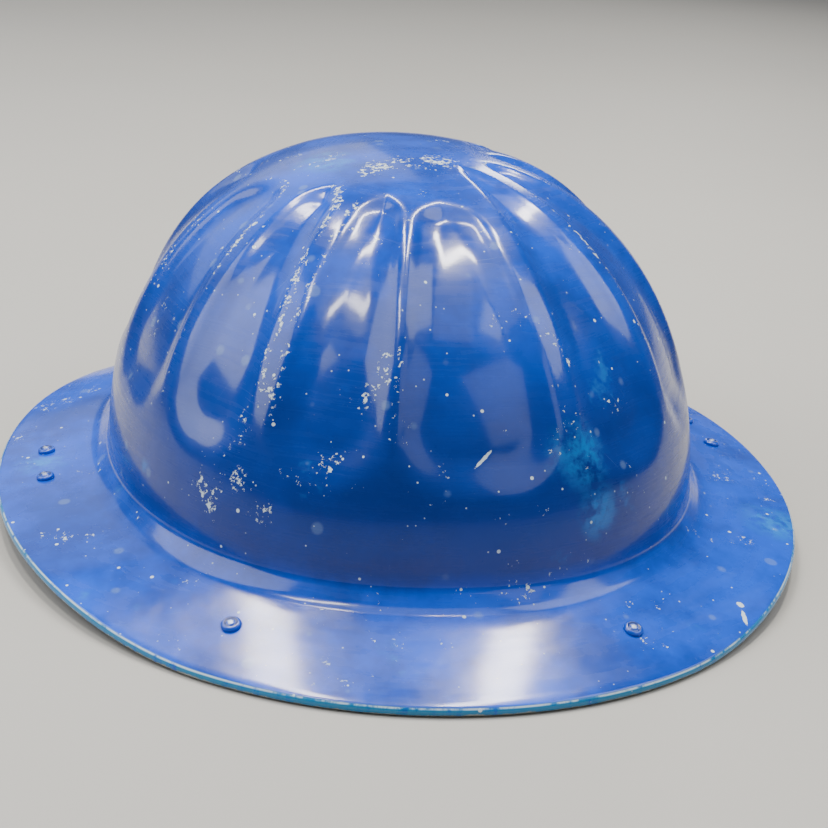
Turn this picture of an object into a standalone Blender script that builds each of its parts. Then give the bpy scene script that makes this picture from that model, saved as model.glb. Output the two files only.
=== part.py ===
"""Full-brim hard hat: a drawn aluminium shell with a six-point webbing suspension.

Run with: blender --background --python part.py
Metres, +Z up, the front of the hat towards -Y. The origin is on the surface that the brim
stands on, under the middle of the brim.
"""
from math import atan, cos, hypot, pi, radians, sin, sqrt, tan

import bmesh
import bpy
from mathutils import Matrix, Vector

# Shell
BRIM_HALF_X = 0.140          # half the brim's width
BRIM_HALF_Y = 0.165          # half the brim's length
BRIM_POWER = 2.06            # superellipse power of the brim's outline
DOME_HALF_X = 0.1022         # half the dome's width at its foot
DOME_HALF_Y = 0.1310         # half the dome's length at its foot
DOME_POWER = 2.22            # superellipse power of the dome's plan at its foot
DOME_SHIFT = 0.006           # the dome sits this far back on the brim
HEIGHT = 0.1234              # top of the dome above the surface
CROWN_FLATNESS = 2.01        # power of height in the dome's section
WALL_FULLNESS = 2.43         # power of radius in the dome's section
SHEET = 0.0013               # thickness of the metal
FOOT_HEIGHT = 0.0137         # outer end of the fillet between dome and brim
UPPER_FILLET = 0.0035        # radius where the wall turns into the fillet's flat band
FILLET_BAND = 0.0035         # length of that band, at 45 degrees
LOWER_FILLET = 0.0083        # radius where the band turns into the brim
SIDE_LIFT = 0.0059           # the brim's edge rises this much at the sides
HEM_RADIUS = 0.0017          # outer radius of the edge that is turned under
HEM_RETURN = 0.0022          # flat width of the turned edge under the brim

# Ribs and the panels pressed in between them
RIB_DIRECTIONS = (-57.0, -33.5, -9.5, 21.5, 49.5, 77.7, 105.9, 134.0, 162.2, 190.4, 218.6,
                  246.7, 274.9)      # degrees from the front
NARROW_RIB = -9.5            # the front rib is narrower than the others
RIB_HALF_WIDTH = 0.0068      # from a rib's middle line to the middle of its flank
NARROW_HALF_WIDTH = 0.0045
FLANK = 0.0055               # width of a flank
PANEL_DEPTH = 0.0030
PANEL_LOW = 0.052            # height of the panels' lower ends
PANEL_TOPS = (0.052, 0.054, 0.058, 0.028, 0.028, 0.028, 0.030, 0.040, 0.050, 0.055, 0.055,
              0.055, 0.055)      # plan radius of each panel's upper end, after each rib
PANEL_LOW_RADIUS = 0.014
PANEL_TOP_RADIUS = 0.009

# Brim rivets, and the hanger strips they hold under the brim
END_RIVET_INSET = 0.019      # front and rear rivets, from the brim's edge
SIDE_RIVET_INSET = 0.0165
END_RIVET_X = {"front_left": -0.0620, "front_right": 0.0555,
               "rear_left": -0.0587, "rear_right": 0.0587}
SIDE_RIVET_Y = {"left": -0.0118, "right": 0.0262}    # middle of each side pair
SIDE_RIVET_GAP = 0.024       # between the two rivets of a pair
RIVET_SHANK = 0.0016
RIVET_HEAD = 0.0030
RIVET_HEAD_HEIGHT = 0.0012
RIVET_SET = 0.0026           # radius of a rivet's set end, under the strip
RIVET_SET_HEIGHT = 0.0009
HOLE_RADIUS = 0.0019
STRIP = 0.0012               # thickness of a hanger strip
STRIP_CLEAR = 0.0008         # from the brim's underside to a strip
STRIP_WIDTH = 0.012
SIDE_STRIP_WIDTH = 0.036
TONGUE_WIDTH = 0.014
STRIP_OVERRUN = 0.0068       # from a rivet's axis to its strip's outer end
PAD_TOP = 0.0235             # top of the level pad at a strip's inner end
MOUTH_HEIGHT = 0.0138        # top of a strip where it passes under the dome's wall
PAD_OUT = 0.0042             # from the stud's axis to the pad's outer end
PAD_IN = 0.0052
STUD_SET = 0.0028            # radius of a hanger stud's set end
STUD_SET_HEIGHT = 0.0008
STUD_NECK = 0.0016
STUD_HEAD = 0.0030
STUD_HEAD_HEIGHT = 0.0013
GAP = 0.0003                 # running clearance between touching pieces
HEAD_CLEAR = 0.0004          # from the brim to a rivet's head, which is flat underneath

# Headband and suspension
BAND_HALF_X = 0.077          # middle of the headband's wall
BAND_FRONT = 0.120           # length of its front half
BAND_POWER = 2.30            # superellipse power of its front half
BAND_CENTRE_Y = 0.0275       # centre of its round rear half
BAND_LOW = 0.008
BAND_HIGH = 0.042
BAND_WALL = 0.0016
BAND_END = 16                # degrees from the rear to each end of the headband
SWEAT_WALL = 0.0022
SWEAT_REACH = 74             # degrees each way round the front
SWEAT_LOW = 0.007
SWEAT_HIGH = 0.044
NAPE_WALL = 0.0016
NAPE_REACH = 62              # degrees each way round the rear
NAPE_LOW = 0.009
NAPE_HIGH = 0.0205
BUCKLE_ANGLE = 50
BUCKLE_WIRE = 0.0012         # thickness of the buckle's four sides
BUCKLE_HALF = 0.0030
WEB_WIDTH = 0.019
WEB = 0.0012                 # thickness of the crown webbing
CROWN_HEIGHT = 0.0880        # middle of the topmost strap over the head
CROWN_STEP = 0.0015          # each strap below it crosses this much lower
STRAP_HEM = 0.0020           # a strap's end hangs this far below the hanger pads
STRAP_DIRECTIONS = {"front_left": -24, "side_left": -79, "rear_left": -156,
                    "front_right": 24, "side_right": 103, "rear_right": 156}
KEY_REACH = 0.0135           # from the headband's middle line to a hanger stud's axis
KEY_WIDTH = 0.014
KEY_PLATE = 0.0020
KEY_PLATE_LOW = -0.0015      # the plate's lower and upper edges, from the pad's top
KEY_PLATE_HIGH = 0.0165
KEY_ARM = 0.0024             # thickness of the key's arm
KEY_ARM_HALF = 0.0042
EYE_RADIUS = 0.0019
EYE_RIM = 0.0050
PATCH_RADIUS = 0.024
PATCH_WALL = 0.0015
PATCH_FOLLOW = 0.8           # share of the straps' fall that the patch follows

# Chin-strap loops
LOOP_WIRE = 0.0010
LOOP_HALF_WIDTH = 0.0105     # to the middle of the wire
LOOP_DROP = 0.0100           # from the pivot to the middle of the lower wire
LOOP_TOP_CORNER = 0.0016
LOOP_LOW_CORNER = 0.0030
LOOP_CLEAR = 0.0004
BARREL_WALL = 0.0010
BARREL_HALF = 0.0080
PIVOT_PLACE = 0.35           # how far up a side bracket's tongue the pivot is

MATERIALS = {
    "blue_paint": ((0.012, 0.075, 0.300, 1), 0.28, 0.35),
    "rivet_metal": ((0.030, 0.110, 0.340, 1), 0.32, 0.50),
    "plated_steel": ((0.560, 0.550, 0.520, 1), 0.35, 1.00),
    "band_leather": ((0.230, 0.120, 0.055, 1), 0.60, 0.00),
    "sweat_leather": ((0.320, 0.180, 0.090, 1), 0.55, 0.00),
    "webbing": ((0.560, 0.520, 0.420, 1), 0.85, 0.00),
    "key_plastic": ((0.035, 0.035, 0.037, 1), 0.45, 0.00),
}


def clear_scene():
    for item in list(bpy.data.objects):
        bpy.data.objects.remove(item, do_unlink=True)


def material(name):
    """The Principled material of that name, made when it is first asked for."""
    made = bpy.data.materials.get(name)
    if made is None:
        colour, roughness, metallic = MATERIALS[name]
        made = bpy.data.materials.new(name)
        made.use_nodes = True
        shader = made.node_tree.nodes["Principled BSDF"]
        shader.inputs["Base Color"].default_value = colour
        shader.inputs["Roughness"].default_value = roughness
        shader.inputs["Metallic"].default_value = metallic
        made.diffuse_color = colour
    return made


def add_object(name, mesh, finish):
    item = bpy.data.objects.new(name, mesh)
    bpy.context.scene.collection.objects.link(item)
    if finish:
        mesh.materials.append(material(finish))
    return item


def to_mesh(name, shape, smooth_angle=35):
    """Closes a bmesh's work: faces point out, and round faces are shaded smooth."""
    bmesh.ops.recalc_face_normals(shape, faces=shape.faces)
    mesh = bpy.data.meshes.new(name)
    shape.to_mesh(mesh)
    shape.free()
    mesh.shade_smooth()
    mesh.set_sharp_from_angle(angle=radians(smooth_angle))
    return mesh


def guide(name, mesh):
    """A boolean's second shape, which isn't part of the hat."""
    item = add_object(name, mesh, None)
    item.hide_render = True
    item.display_type = "WIRE"
    return item


def boolean(item, other, operation):
    step = item.modifiers.new(operation.lower(), "BOOLEAN")
    step.operation = operation
    step.solver = "EXACT"
    step.object = other


# ---------------------------------------------------------------- shell

def signed_power(value, power):
    return abs(value) ** power * (1 if value >= 0 else -1)


def outline(half_x, half_y, power, angle, shift=0.0):
    """A point of a superellipse in plan; angle 0 is the front, and it grows towards +X."""
    x = half_x * signed_power(sin(angle), 2 / power)
    y = -half_y * signed_power(cos(angle), 2 / power)
    return Vector((x, y + shift))


def smooth(value):
    value = min(1.0, max(0.0, value))
    return value * value * (3 - 2 * value)


def edge_lift(angle):
    """The brim's edge lies flat at the front and the rear, and rises at the sides."""
    return SIDE_LIFT * smooth((abs(sin(angle)) - 0.5) / 0.5)


def brim_outline(angle):
    return outline(BRIM_HALF_X, BRIM_HALF_Y, BRIM_POWER, angle)


def dome_outline(angle):
    return outline(DOME_HALF_X, DOME_HALF_Y, DOME_POWER, angle, DOME_SHIFT)


def brim_slope(angle):
    """Angle at which the brim falls from the fillet to the hem."""
    width = (brim_outline(angle) - dome_outline(angle)).length
    slope = 0.25
    for _ in range(4):
        run = width - HEM_RADIUS * (1 - sin(slope)) - fillet_run(slope)
        hem_top = edge_lift(angle) + HEM_RADIUS * (1 + cos(slope))
        slope = atan((FOOT_HEIGHT - hem_top) / run)
    return slope


def fillet_run(slope):
    upper = UPPER_FILLET * (1 - cos(pi / 4))
    lower = LOWER_FILLET * (sin(pi / 4) - sin(slope))
    return upper + FILLET_BAND * cos(pi / 4) + lower


def fillet_rise(slope):
    upper = UPPER_FILLET * sin(pi / 4)
    lower = LOWER_FILLET * (cos(slope) - cos(pi / 4))
    return upper + FILLET_BAND * sin(pi / 4) + lower


def corner_inside(side, end, radius):
    """How far inside a rounded corner a point is, given how far it is from both edges."""
    return radius - hypot(max(radius - side, 0), max(radius - end, 0))


def rib_distance(angle, rib):
    """Angle in plan between a place on the dome and a rib given in degrees."""
    return abs((angle - radians(rib) + pi) % (2 * pi) - pi)


def panel_top(angle):
    """Plan radius of the upper end of the panel in that direction."""
    behind = [(angle - radians(rib)) % (2 * pi) for rib in RIB_DIRECTIONS]
    return PANEL_TOPS[behind.index(min(behind))]


def panel_recess(angle, fraction, height):
    """Depth of the pressed panels at a place on the dome; 0 on a rib, plateau or foot."""
    spread = hypot(DOME_HALF_X * cos(angle), DOME_HALF_Y * sin(angle)) * fraction
    side = min(rib_distance(angle, rib) * spread
               - (NARROW_HALF_WIDTH if rib == NARROW_RIB else RIB_HALF_WIDTH)
               for rib in RIB_DIRECTIONS)
    reach = (dome_outline(angle) - Vector((0, DOME_SHIFT))).length
    lower = corner_inside(side, height - PANEL_LOW, PANEL_LOW_RADIUS)
    upper = corner_inside(side, fraction * reach - panel_top(angle), PANEL_TOP_RADIUS)
    return PANEL_DEPTH * smooth(min(lower, upper) / FLANK + 0.5)


def dome_point(angle, tilt, base):
    """A point of the dome's outside; tilt is 0 at the top and 90 degrees at the foot."""
    rise = max(cos(tilt), 0.0) ** (2 / CROWN_FLATNESS)
    fraction = sin(tilt) ** (2 / WALL_FULLNESS)
    power = DOME_POWER + (2 - DOME_POWER) * rise
    flat = outline(DOME_HALF_X, DOME_HALF_Y, power, angle) * fraction
    height = base + (HEIGHT - base) * rise
    recess = panel_recess(angle, fraction, height)
    normal = Vector((flat.x / DOME_HALF_X ** 2, flat.y / DOME_HALF_Y ** 2,
                     (height - base) / (HEIGHT - base) ** 2)).normalized()
    return Vector((flat.x, flat.y + DOME_SHIFT, height)) - normal * recess


def shell_section(angle, tilts, fillet_steps=2, brim_steps=2, hem_steps=6):
    """Points of the shell's outside from under the top to the end of the turned edge."""
    slope = brim_slope(angle)
    base = FOOT_HEIGHT + fillet_rise(slope)
    wall = dome_outline(angle)
    edge = brim_outline(angle)
    outward = (edge - wall).normalized()
    width = (edge - wall).length
    points = [dome_point(angle, tilt, base) for tilt in tilts]

    def place(out, height):
        flat = wall + outward * out
        points.append(Vector((flat.x, flat.y, height)))

    for step in range(1, fillet_steps + 1):
        turn = pi / 4 * step / fillet_steps
        place(UPPER_FILLET * (1 - cos(turn)), base - UPPER_FILLET * sin(turn))
    out = UPPER_FILLET * (1 - cos(pi / 4)) + FILLET_BAND * cos(pi / 4)
    height = base - UPPER_FILLET * sin(pi / 4) - FILLET_BAND * sin(pi / 4)
    for step in range(fillet_steps + 1):
        turn = pi / 4 + (slope - pi / 4) * step / fillet_steps
        place(out + LOWER_FILLET * (sin(pi / 4) - sin(turn)),
              height - LOWER_FILLET * (cos(turn) - cos(pi / 4)))
    hem_out = width - HEM_RADIUS
    hem_height = edge_lift(angle) + HEM_RADIUS
    first = (fillet_run(slope), FOOT_HEIGHT)
    last = (hem_out + HEM_RADIUS * sin(slope), hem_height + HEM_RADIUS * cos(slope))
    for step in range(1, brim_steps + 1):
        part = step / (brim_steps + 1)
        place(first[0] + (last[0] - first[0]) * part, first[1] + (last[1] - first[1]) * part)
    for step in range(hem_steps + 1):
        turn = slope + (pi - slope) * step / hem_steps
        place(hem_out + HEM_RADIUS * sin(turn), hem_height + HEM_RADIUS * cos(turn))
    place(hem_out - HEM_RETURN, edge_lift(angle))
    return points


def shell_angles():
    """Columns round the hat, close together where the ribs' flanks are."""
    ends = RIB_DIRECTIONS[1:] + (RIB_DIRECTIONS[0] + 360,)
    parts = (0, 0.14, 0.30, 0.5, 0.70, 0.86)
    return [radians(rib + (end - rib) * part) for rib, end in zip(RIB_DIRECTIONS, ends)
            for part in parts]


def make_shell():
    tilts = [radians(value) for value in (6, 10, 14, 18, 22, 26, 30, 35, 41, 48, 55, 62, 69, 76, 83, 90)]
    shape = bmesh.new()
    top = shape.verts.new((0, DOME_SHIFT, HEIGHT))
    columns = []
    for angle in shell_angles():
        columns.append([shape.verts.new(point) for point in shell_section(angle, tilts)])
    for index, column in enumerate(columns):
        following = columns[(index + 1) % len(columns)]
        shape.faces.new((top, column[0], following[0]))
        for row in range(len(column) - 1):
            shape.faces.new((column[row], column[row + 1], following[row + 1], following[row]))
    for face in shape.faces:
        face.normal_update()
    if top.link_faces[0].normal.z < 0:
        bmesh.ops.reverse_faces(shape, faces=shape.faces)
    mesh = bpy.data.meshes.new("shell")
    shape.to_mesh(mesh)
    shape.free()
    mesh.shade_smooth()
    item = add_object("shell", mesh, "blue_paint")
    wall = item.modifiers.new("wall", "SOLIDIFY")
    wall.thickness = SHEET
    wall.offset = -1
    wall.use_even_offset = True
    return item


# ---------------------------------------------------------------- places round the brim

class Station:
    """A place on the brim: where a rivet stands, which way is out, and how the brim slopes."""

    def __init__(self, angle, inset):
        wall = dome_outline(angle)
        edge = brim_outline(angle)
        self.out = (edge - wall).normalized()
        self.width = (edge - wall).length
        self.slope = brim_slope(angle)
        self.wall = wall
        self.run = self.width - inset
        self.top = self.height(self.run)
        self.flat = wall + self.out * self.run
        self.point = Vector((self.flat.x, self.flat.y, self.top))
        self.normal = Vector((self.out.x * sin(self.slope), self.out.y * sin(self.slope),
                              cos(self.slope)))

    def height(self, run):
        """Height of the brim's outside at a distance out from the dome's foot."""
        return FOOT_HEIGHT - (run - fillet_run(self.slope)) * tan(self.slope)


def find_angle(reached, low, high):
    """Solves reached(angle) = 0 by halving; reached rises from low to high."""
    for _ in range(40):
        middle = (low + high) / 2
        if reached(middle) > 0:
            high = middle
        else:
            low = middle
    return (low + high) / 2


def side_station(side_name, y):
    """The place of a side rivet, given how far back it is."""
    angle = find_angle(lambda a: Station(a, SIDE_RIVET_INSET).flat.y - y, 0.9, 2.2)
    return Station(angle if side_name == "right" else -angle, SIDE_RIVET_INSET)


def rivet_stations():
    """The brim's eight rivets, by name."""
    stations = {}
    for label, x in END_RIVET_X.items():
        front = label.startswith("front")
        sign = 1 if x > 0 else -1
        low, high = (0.1, 0.9) if front else (2.2, 3.0)
        turn = 1 if front else -1

        def reached(angle):
            return turn * (Station(angle, END_RIVET_INSET).flat.x - abs(x))

        stations[label] = Station(find_angle(reached, low, high) * sign, END_RIVET_INSET)
    for side_name, y in SIDE_RIVET_Y.items():
        stations["side_fore_" + side_name] = side_station(side_name, y - SIDE_RIVET_GAP / 2)
        stations["side_aft_" + side_name] = side_station(side_name, y + SIDE_RIVET_GAP / 2)
    return stations


def turned(name, profile, segments):
    """Closed solid of revolution about Z; the profile runs from the axis back to the axis."""
    shape = bmesh.new()
    bottom = shape.verts.new((0, 0, profile[0][1]))
    top = shape.verts.new((0, 0, profile[-1][1]))
    rings = []
    for radius, height in profile[1:-1]:
        rings.append([shape.verts.new((radius * cos(2 * pi * k / segments),
                                       radius * sin(2 * pi * k / segments), height))
                      for k in range(segments)])
    for k in range(segments):
        after = (k + 1) % segments
        shape.faces.new((bottom, rings[0][after], rings[0][k]))
        shape.faces.new((top, rings[-1][k], rings[-1][after]))
        for lower, upper in zip(rings, rings[1:]):
            shape.faces.new((lower[k], lower[after], upper[after], upper[k]))
    return to_mesh(name, shape)


def rivet_mesh():
    """A domed head on the brim, a shank through brim and strip, and a set end below."""
    below = -(SHEET + STRIP_CLEAR + STRIP + GAP)
    end = below - RIVET_SET_HEIGHT
    profile = [(0, end), (RIVET_SET * 0.85, end), (RIVET_SET, (end + below) / 2),
               (RIVET_SET, below), (RIVET_SHANK, below), (RIVET_SHANK, HEAD_CLEAR)]
    profile.append((RIVET_HEAD, HEAD_CLEAR))
    for step in range(1, 4):
        turn = pi / 2 * step / 4
        profile.append((RIVET_HEAD * cos(turn), HEAD_CLEAR + RIVET_HEAD_HEIGHT * sin(turn)))
    profile.append((0, HEAD_CLEAR + RIVET_HEAD_HEIGHT))
    return turned("rivet", profile, 12)


def stud_mesh():
    """A hanger stud: set end, neck, and the mushroom head that keeps the key's eye on."""
    low = -(STRIP + GAP)
    end = low - STUD_SET_HEIGHT
    eye_top = 2 * GAP + KEY_ARM
    profile = [(0, end), (STUD_SET, end), (STUD_SET, low), (STUD_NECK, low),
               (STUD_NECK, eye_top), (STUD_HEAD, eye_top),
               (STUD_HEAD * 0.9, eye_top + STUD_HEAD_HEIGHT * 0.55),
               (STUD_HEAD * 0.6, eye_top + STUD_HEAD_HEIGHT * 0.9),
               (0, eye_top + STUD_HEAD_HEIGHT)]
    return turned("hanger_stud", profile, 12)


def upright(point, normal):
    """The placing that stands a solid of revolution on a surface."""
    turn = Vector((0, 0, 1)).rotation_difference(normal).to_matrix().to_4x4()
    return Matrix.Translation(point) @ turn


def drill_mesh(radius, half_length, segments=14):
    return turned("drill", [(0, -half_length), (radius, -half_length),
                            (radius, half_length), (0, half_length)], segments)


def drill(items, name, point, normal, radius, half_length=0.006):
    """Cuts one straight hole through the pieces named."""
    cutter = guide(name, drill_mesh(radius, half_length))
    cutter.matrix_world = upright(point, normal)
    for item in items:
        boolean(item, cutter, "DIFFERENCE")


# ---------------------------------------------------------------- hanger strips

def bent_strip(name, path, widths, across, thickness):
    """Flat metal bent along a path; across is the level direction of its width."""
    shape = bmesh.new()
    rows = []
    for index, point in enumerate(path):
        before = path[max(index - 1, 0)]
        after = path[min(index + 1, len(path) - 1)]
        along = (after - before).normalized()
        up = across.cross(along).normalized()
        if up.z < 0:
            up.negate()
        half = across * widths[index] / 2
        rows.append([shape.verts.new(point - half), shape.verts.new(point + half),
                     shape.verts.new(point + half - up * thickness),
                     shape.verts.new(point - half - up * thickness)])
    shape.faces.new(rows[0])
    shape.faces.new(rows[-1][::-1])
    for near, far in zip(rows, rows[1:]):
        for side in range(4):
            other = (side + 1) % 4
            shape.faces.new((near[side], near[other], far[other], far[side]))
    return to_mesh(name, shape, 25)


def hanger_path(station, stud):
    """From under the rivet, along the brim and the foot, to the level pad round the stud."""
    flat_stud = Vector((stud.x, stud.y))
    inward = (flat_stud - station.flat).normalized()
    drop = (SHEET + STRIP_CLEAR) / cos(station.slope)
    out = -inward

    def under(distance):
        spot = station.flat + out * distance
        run = (spot - station.wall).dot(station.out)
        return Vector((spot.x, spot.y, station.height(run) - drop))

    foot_distance = -(station.run - fillet_run(station.slope)) / station.out.dot(out)
    mouth_distance = -station.run / station.out.dot(out)
    mouth = station.flat + out * mouth_distance
    pad_out = flat_stud + out * PAD_OUT
    pad_in = flat_stud - out * PAD_IN
    path = [under(STRIP_OVERRUN), under(0), under(foot_distance)]
    path.append(Vector((mouth.x, mouth.y, MOUTH_HEIGHT)))
    path.append(Vector((pad_out.x, pad_out.y, PAD_TOP)))
    path.append(Vector((pad_in.x, pad_in.y, PAD_TOP)))
    across = Vector((-out.y, out.x, 0))
    return path, across


# ---------------------------------------------------------------- headband and straps

def band_point(angle, offset=0.0):
    """Headband's plan: a half superellipse at the front and a half circle at the rear.

    angle 0 is the front and grows towards +X; returns the point and the outward direction."""
    reach, power = (BAND_FRONT, BAND_POWER) if cos(angle) > 0 else (BAND_HALF_X, 2)
    point = outline(BAND_HALF_X, reach, power, angle)
    out = Vector((signed_power(point.x / BAND_HALF_X, power - 1) / BAND_HALF_X,
                  signed_power(point.y / reach, power - 1) / reach)).normalized()
    point = point + Vector((0, BAND_CENTRE_Y)) + out * offset
    return point, out


def band_angle(direction):
    """The headband's own angle in a plan direction from the middle of the dome."""
    aim = Vector((sin(direction), -cos(direction)))
    centre = Vector((0, DOME_SHIFT))

    def sideways(angle):
        spot = band_point(angle)[0] - centre
        return aim.x * spot.y - aim.y * spot.x

    return find_angle(sideways, direction - 0.6, direction + 0.6)


def curved_band(name, angles, offset, wall, low, high):
    """A strip that stands on edge round the head, as thick as its wall, closed at its ends."""
    shape = bmesh.new()
    rows = []
    for angle in angles:
        inner = band_point(angle, offset - wall / 2)[0]
        outer = band_point(angle, offset + wall / 2)[0]
        rows.append([shape.verts.new((inner.x, inner.y, low)),
                     shape.verts.new((outer.x, outer.y, low)),
                     shape.verts.new((outer.x, outer.y, high)),
                     shape.verts.new((inner.x, inner.y, high))])
    shape.faces.new(rows[0])
    shape.faces.new(rows[-1][::-1])
    for near, far in zip(rows, rows[1:]):
        for side in range(4):
            other = (side + 1) % 4
            shape.faces.new((near[side], near[other], far[other], far[side]))
    return to_mesh(name, shape)


def spread_angles(first, last, count):
    return [radians(first + (last - first) * k / count) for k in range(count + 1)]


def strap_half(direction, crown):
    """One half of a crown strap: points from the headband up to the middle of the crown.

    Each entry is a point on the strap's middle line and the level direction of its width."""
    angle = band_angle(direction)
    offset = BAND_WALL / 2 + GAP + WEB / 2
    foot, out = band_point(angle, offset)
    centre = Vector((0, DOME_SHIFT))
    band_across = Vector((-out.y, out.x, 0))
    aim = Vector((sin(direction), -cos(direction), 0))
    crown_across = Vector((-aim.y, aim.x, 0))
    spring = BAND_HIGH + 0.001
    entries = [(Vector((foot.x, foot.y, PAD_TOP - STRAP_HEM)), band_across),
               (Vector((foot.x, foot.y, spring - 0.004)), band_across)]
    steps = 11
    for step in range(steps + 1):
        turn = pi / 2 * step / steps
        flat = centre + (foot - centre) * cos(turn)
        across = band_across.lerp(crown_across, smooth(step / 4)).normalized()
        entries.append((Vector((flat.x, flat.y, spring + (crown - spring) * sin(turn))), across))
    return entries


def strap_mesh(name, direction, crown):
    """A whole crown strap: up one side of the head, over the crown and down the other."""
    first = strap_half(radians(direction[0]), crown)
    second = strap_half(radians(direction[1]), crown)
    crossing = [(point, -across) for point, across in reversed(second[:-1])]
    entries = first + crossing
    shape = bmesh.new()
    rows = []
    for index, (point, across) in enumerate(entries):
        before = entries[max(index - 1, 0)][0]
        after = entries[min(index + 1, len(entries) - 1)][0]
        face = across.cross((after - before).normalized()).normalized()
        half = across * WEB_WIDTH / 2
        lift = face * WEB / 2
        corners = (point - half - lift, point + half - lift, point + half + lift,
                   point - half + lift)
        rows.append([shape.verts.new(corner) for corner in corners])
    shape.faces.new(rows[0])
    shape.faces.new(rows[-1][::-1])
    for near, far in zip(rows, rows[1:]):
        for side in range(4):
            other = (side + 1) % 4
            shape.faces.new((near[side], near[other], far[other], far[side]))
    return to_mesh(name, shape, 60)


def box_shape(shape, frame, low, high):
    """Adds a closed box to a bmesh, given by its corners in a local frame."""
    corners = [(x, y, z) for x in (low[0], high[0]) for y in (low[1], high[1])
               for z in (low[2], high[2])]
    verts = [shape.verts.new(frame @ Vector(corner)) for corner in corners]
    for face in ((0, 1, 3, 2), (4, 6, 7, 5), (0, 4, 5, 1), (2, 3, 7, 6), (0, 2, 6, 4),
                 (1, 5, 7, 3)):
        shape.faces.new([verts[k] for k in face])


def frame_at(point, out, height):
    """Local frame at the headband: x outward, y along it, z up."""
    side = Vector((-out.y, out.x))
    return Matrix(((out.x, side.x, 0, point.x), (out.y, side.y, 0, point.y),
                   (0, 0, 1, height), (0, 0, 0, 1)))


def key_objects(name, frame):
    """A hanger key: a plate behind the strap's end, and an arm with an eye for the stud."""
    inner = BAND_WALL / 2 + 2 * GAP + WEB
    shape = bmesh.new()
    box_shape(shape, frame, (inner, -KEY_WIDTH / 2, KEY_PLATE_LOW),
              (inner + KEY_PLATE, KEY_WIDTH / 2, KEY_PLATE_HIGH))
    key = add_object(name, to_mesh(name, shape, 25), "key_plastic")
    arm = bmesh.new()
    root = inner + KEY_PLATE / 2
    rim = [(root, -KEY_ARM_HALF)]
    for turn in spread_angles(-72, 72, 12):
        rim.append((KEY_REACH + EYE_RIM * cos(turn), EYE_RIM * sin(turn)))
    rim.append((root, KEY_ARM_HALF))
    lower = [arm.verts.new(frame @ Vector((x, y, GAP))) for x, y in rim]
    upper = [arm.verts.new(frame @ Vector((x, y, GAP + KEY_ARM))) for x, y in rim]
    arm.faces.new(lower[::-1])
    arm.faces.new(upper)
    for k in range(len(lower)):
        other = (k + 1) % len(lower)
        arm.faces.new((lower[k], lower[other], upper[other], upper[k]))
    arm_guide = guide(name + "_arm", to_mesh(name + "_arm", arm, 25))
    boolean(key, arm_guide, "UNION")
    hole = guide(name + "_eye", drill_mesh(EYE_RADIUS, 0.01))
    hole.matrix_world = frame @ Matrix.Translation((KEY_REACH, 0, 0))
    boolean(key, hole, "DIFFERENCE")
    return key


# ---------------------------------------------------------------- chin loops

def loop_mesh(name):
    """A rounded rectangular wire loop that hangs from its upper bar, which is on the pivot."""
    path = []
    for sign, height, radius, start in ((1, 0, LOOP_TOP_CORNER, 90),
                                        (1, -LOOP_DROP, LOOP_LOW_CORNER, 0),
                                        (-1, -LOOP_DROP, LOOP_LOW_CORNER, -90),
                                        (-1, 0, LOOP_TOP_CORNER, -180)):
        middle_y = sign * (LOOP_HALF_WIDTH - radius)
        middle_z = height - radius if height == 0 else height + radius
        for step in range(4):
            turn = radians(start - 90 * step / 3)
            path.append((middle_y + radius * cos(turn), middle_z + radius * sin(turn)))
    curve = bpy.data.curves.new(name, "CURVE")
    curve.dimensions = "3D"
    curve.bevel_depth = LOOP_WIRE
    curve.bevel_resolution = 1
    spline = curve.splines.new("POLY")
    spline.points.add(len(path) - 1)
    for point, (y, z) in zip(spline.points, path):
        point.co = (0, y, z, 1)
    spline.use_cyclic_u = True
    return curve


def add_chin_loop(side_name, bracket, pivot):
    """Adds a wire loop on its pivot, and the barrel of the bracket that it turns in."""
    curve = loop_mesh("chin_loop_" + side_name)
    item = bpy.data.objects.new("chin_loop_" + side_name, curve)
    curve.materials.append(material("plated_steel"))
    bpy.context.scene.collection.objects.link(item)
    pivot_point = bpy.data.objects.new("chin_pivot_" + side_name, None)
    pivot_point.location = pivot
    bpy.context.scene.collection.objects.link(pivot_point)
    item.parent = pivot_point
    inner = LOOP_WIRE + LOOP_CLEAR
    tube = bmesh.new()
    segments = 14
    rings = []
    for radius, end in ((inner, -1), (inner, 1), (inner + BARREL_WALL, 1),
                        (inner + BARREL_WALL, -1)):
        rings.append([tube.verts.new((pivot.x + radius * cos(2 * pi * k / segments),
                                      pivot.y + BARREL_HALF * end,
                                      pivot.z + radius * sin(2 * pi * k / segments)))
                      for k in range(segments)])
    for k in range(segments):
        after = (k + 1) % segments
        for ring in range(4):
            following = rings[(ring + 1) % 4]
            tube.faces.new((rings[ring][k], rings[ring][after], following[after], following[k]))
    barrel = guide("chin_barrel_" + side_name, to_mesh("chin_barrel", tube, 25))
    boolean(bracket, barrel, "UNION")


# ---------------------------------------------------------------- assembly

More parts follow.
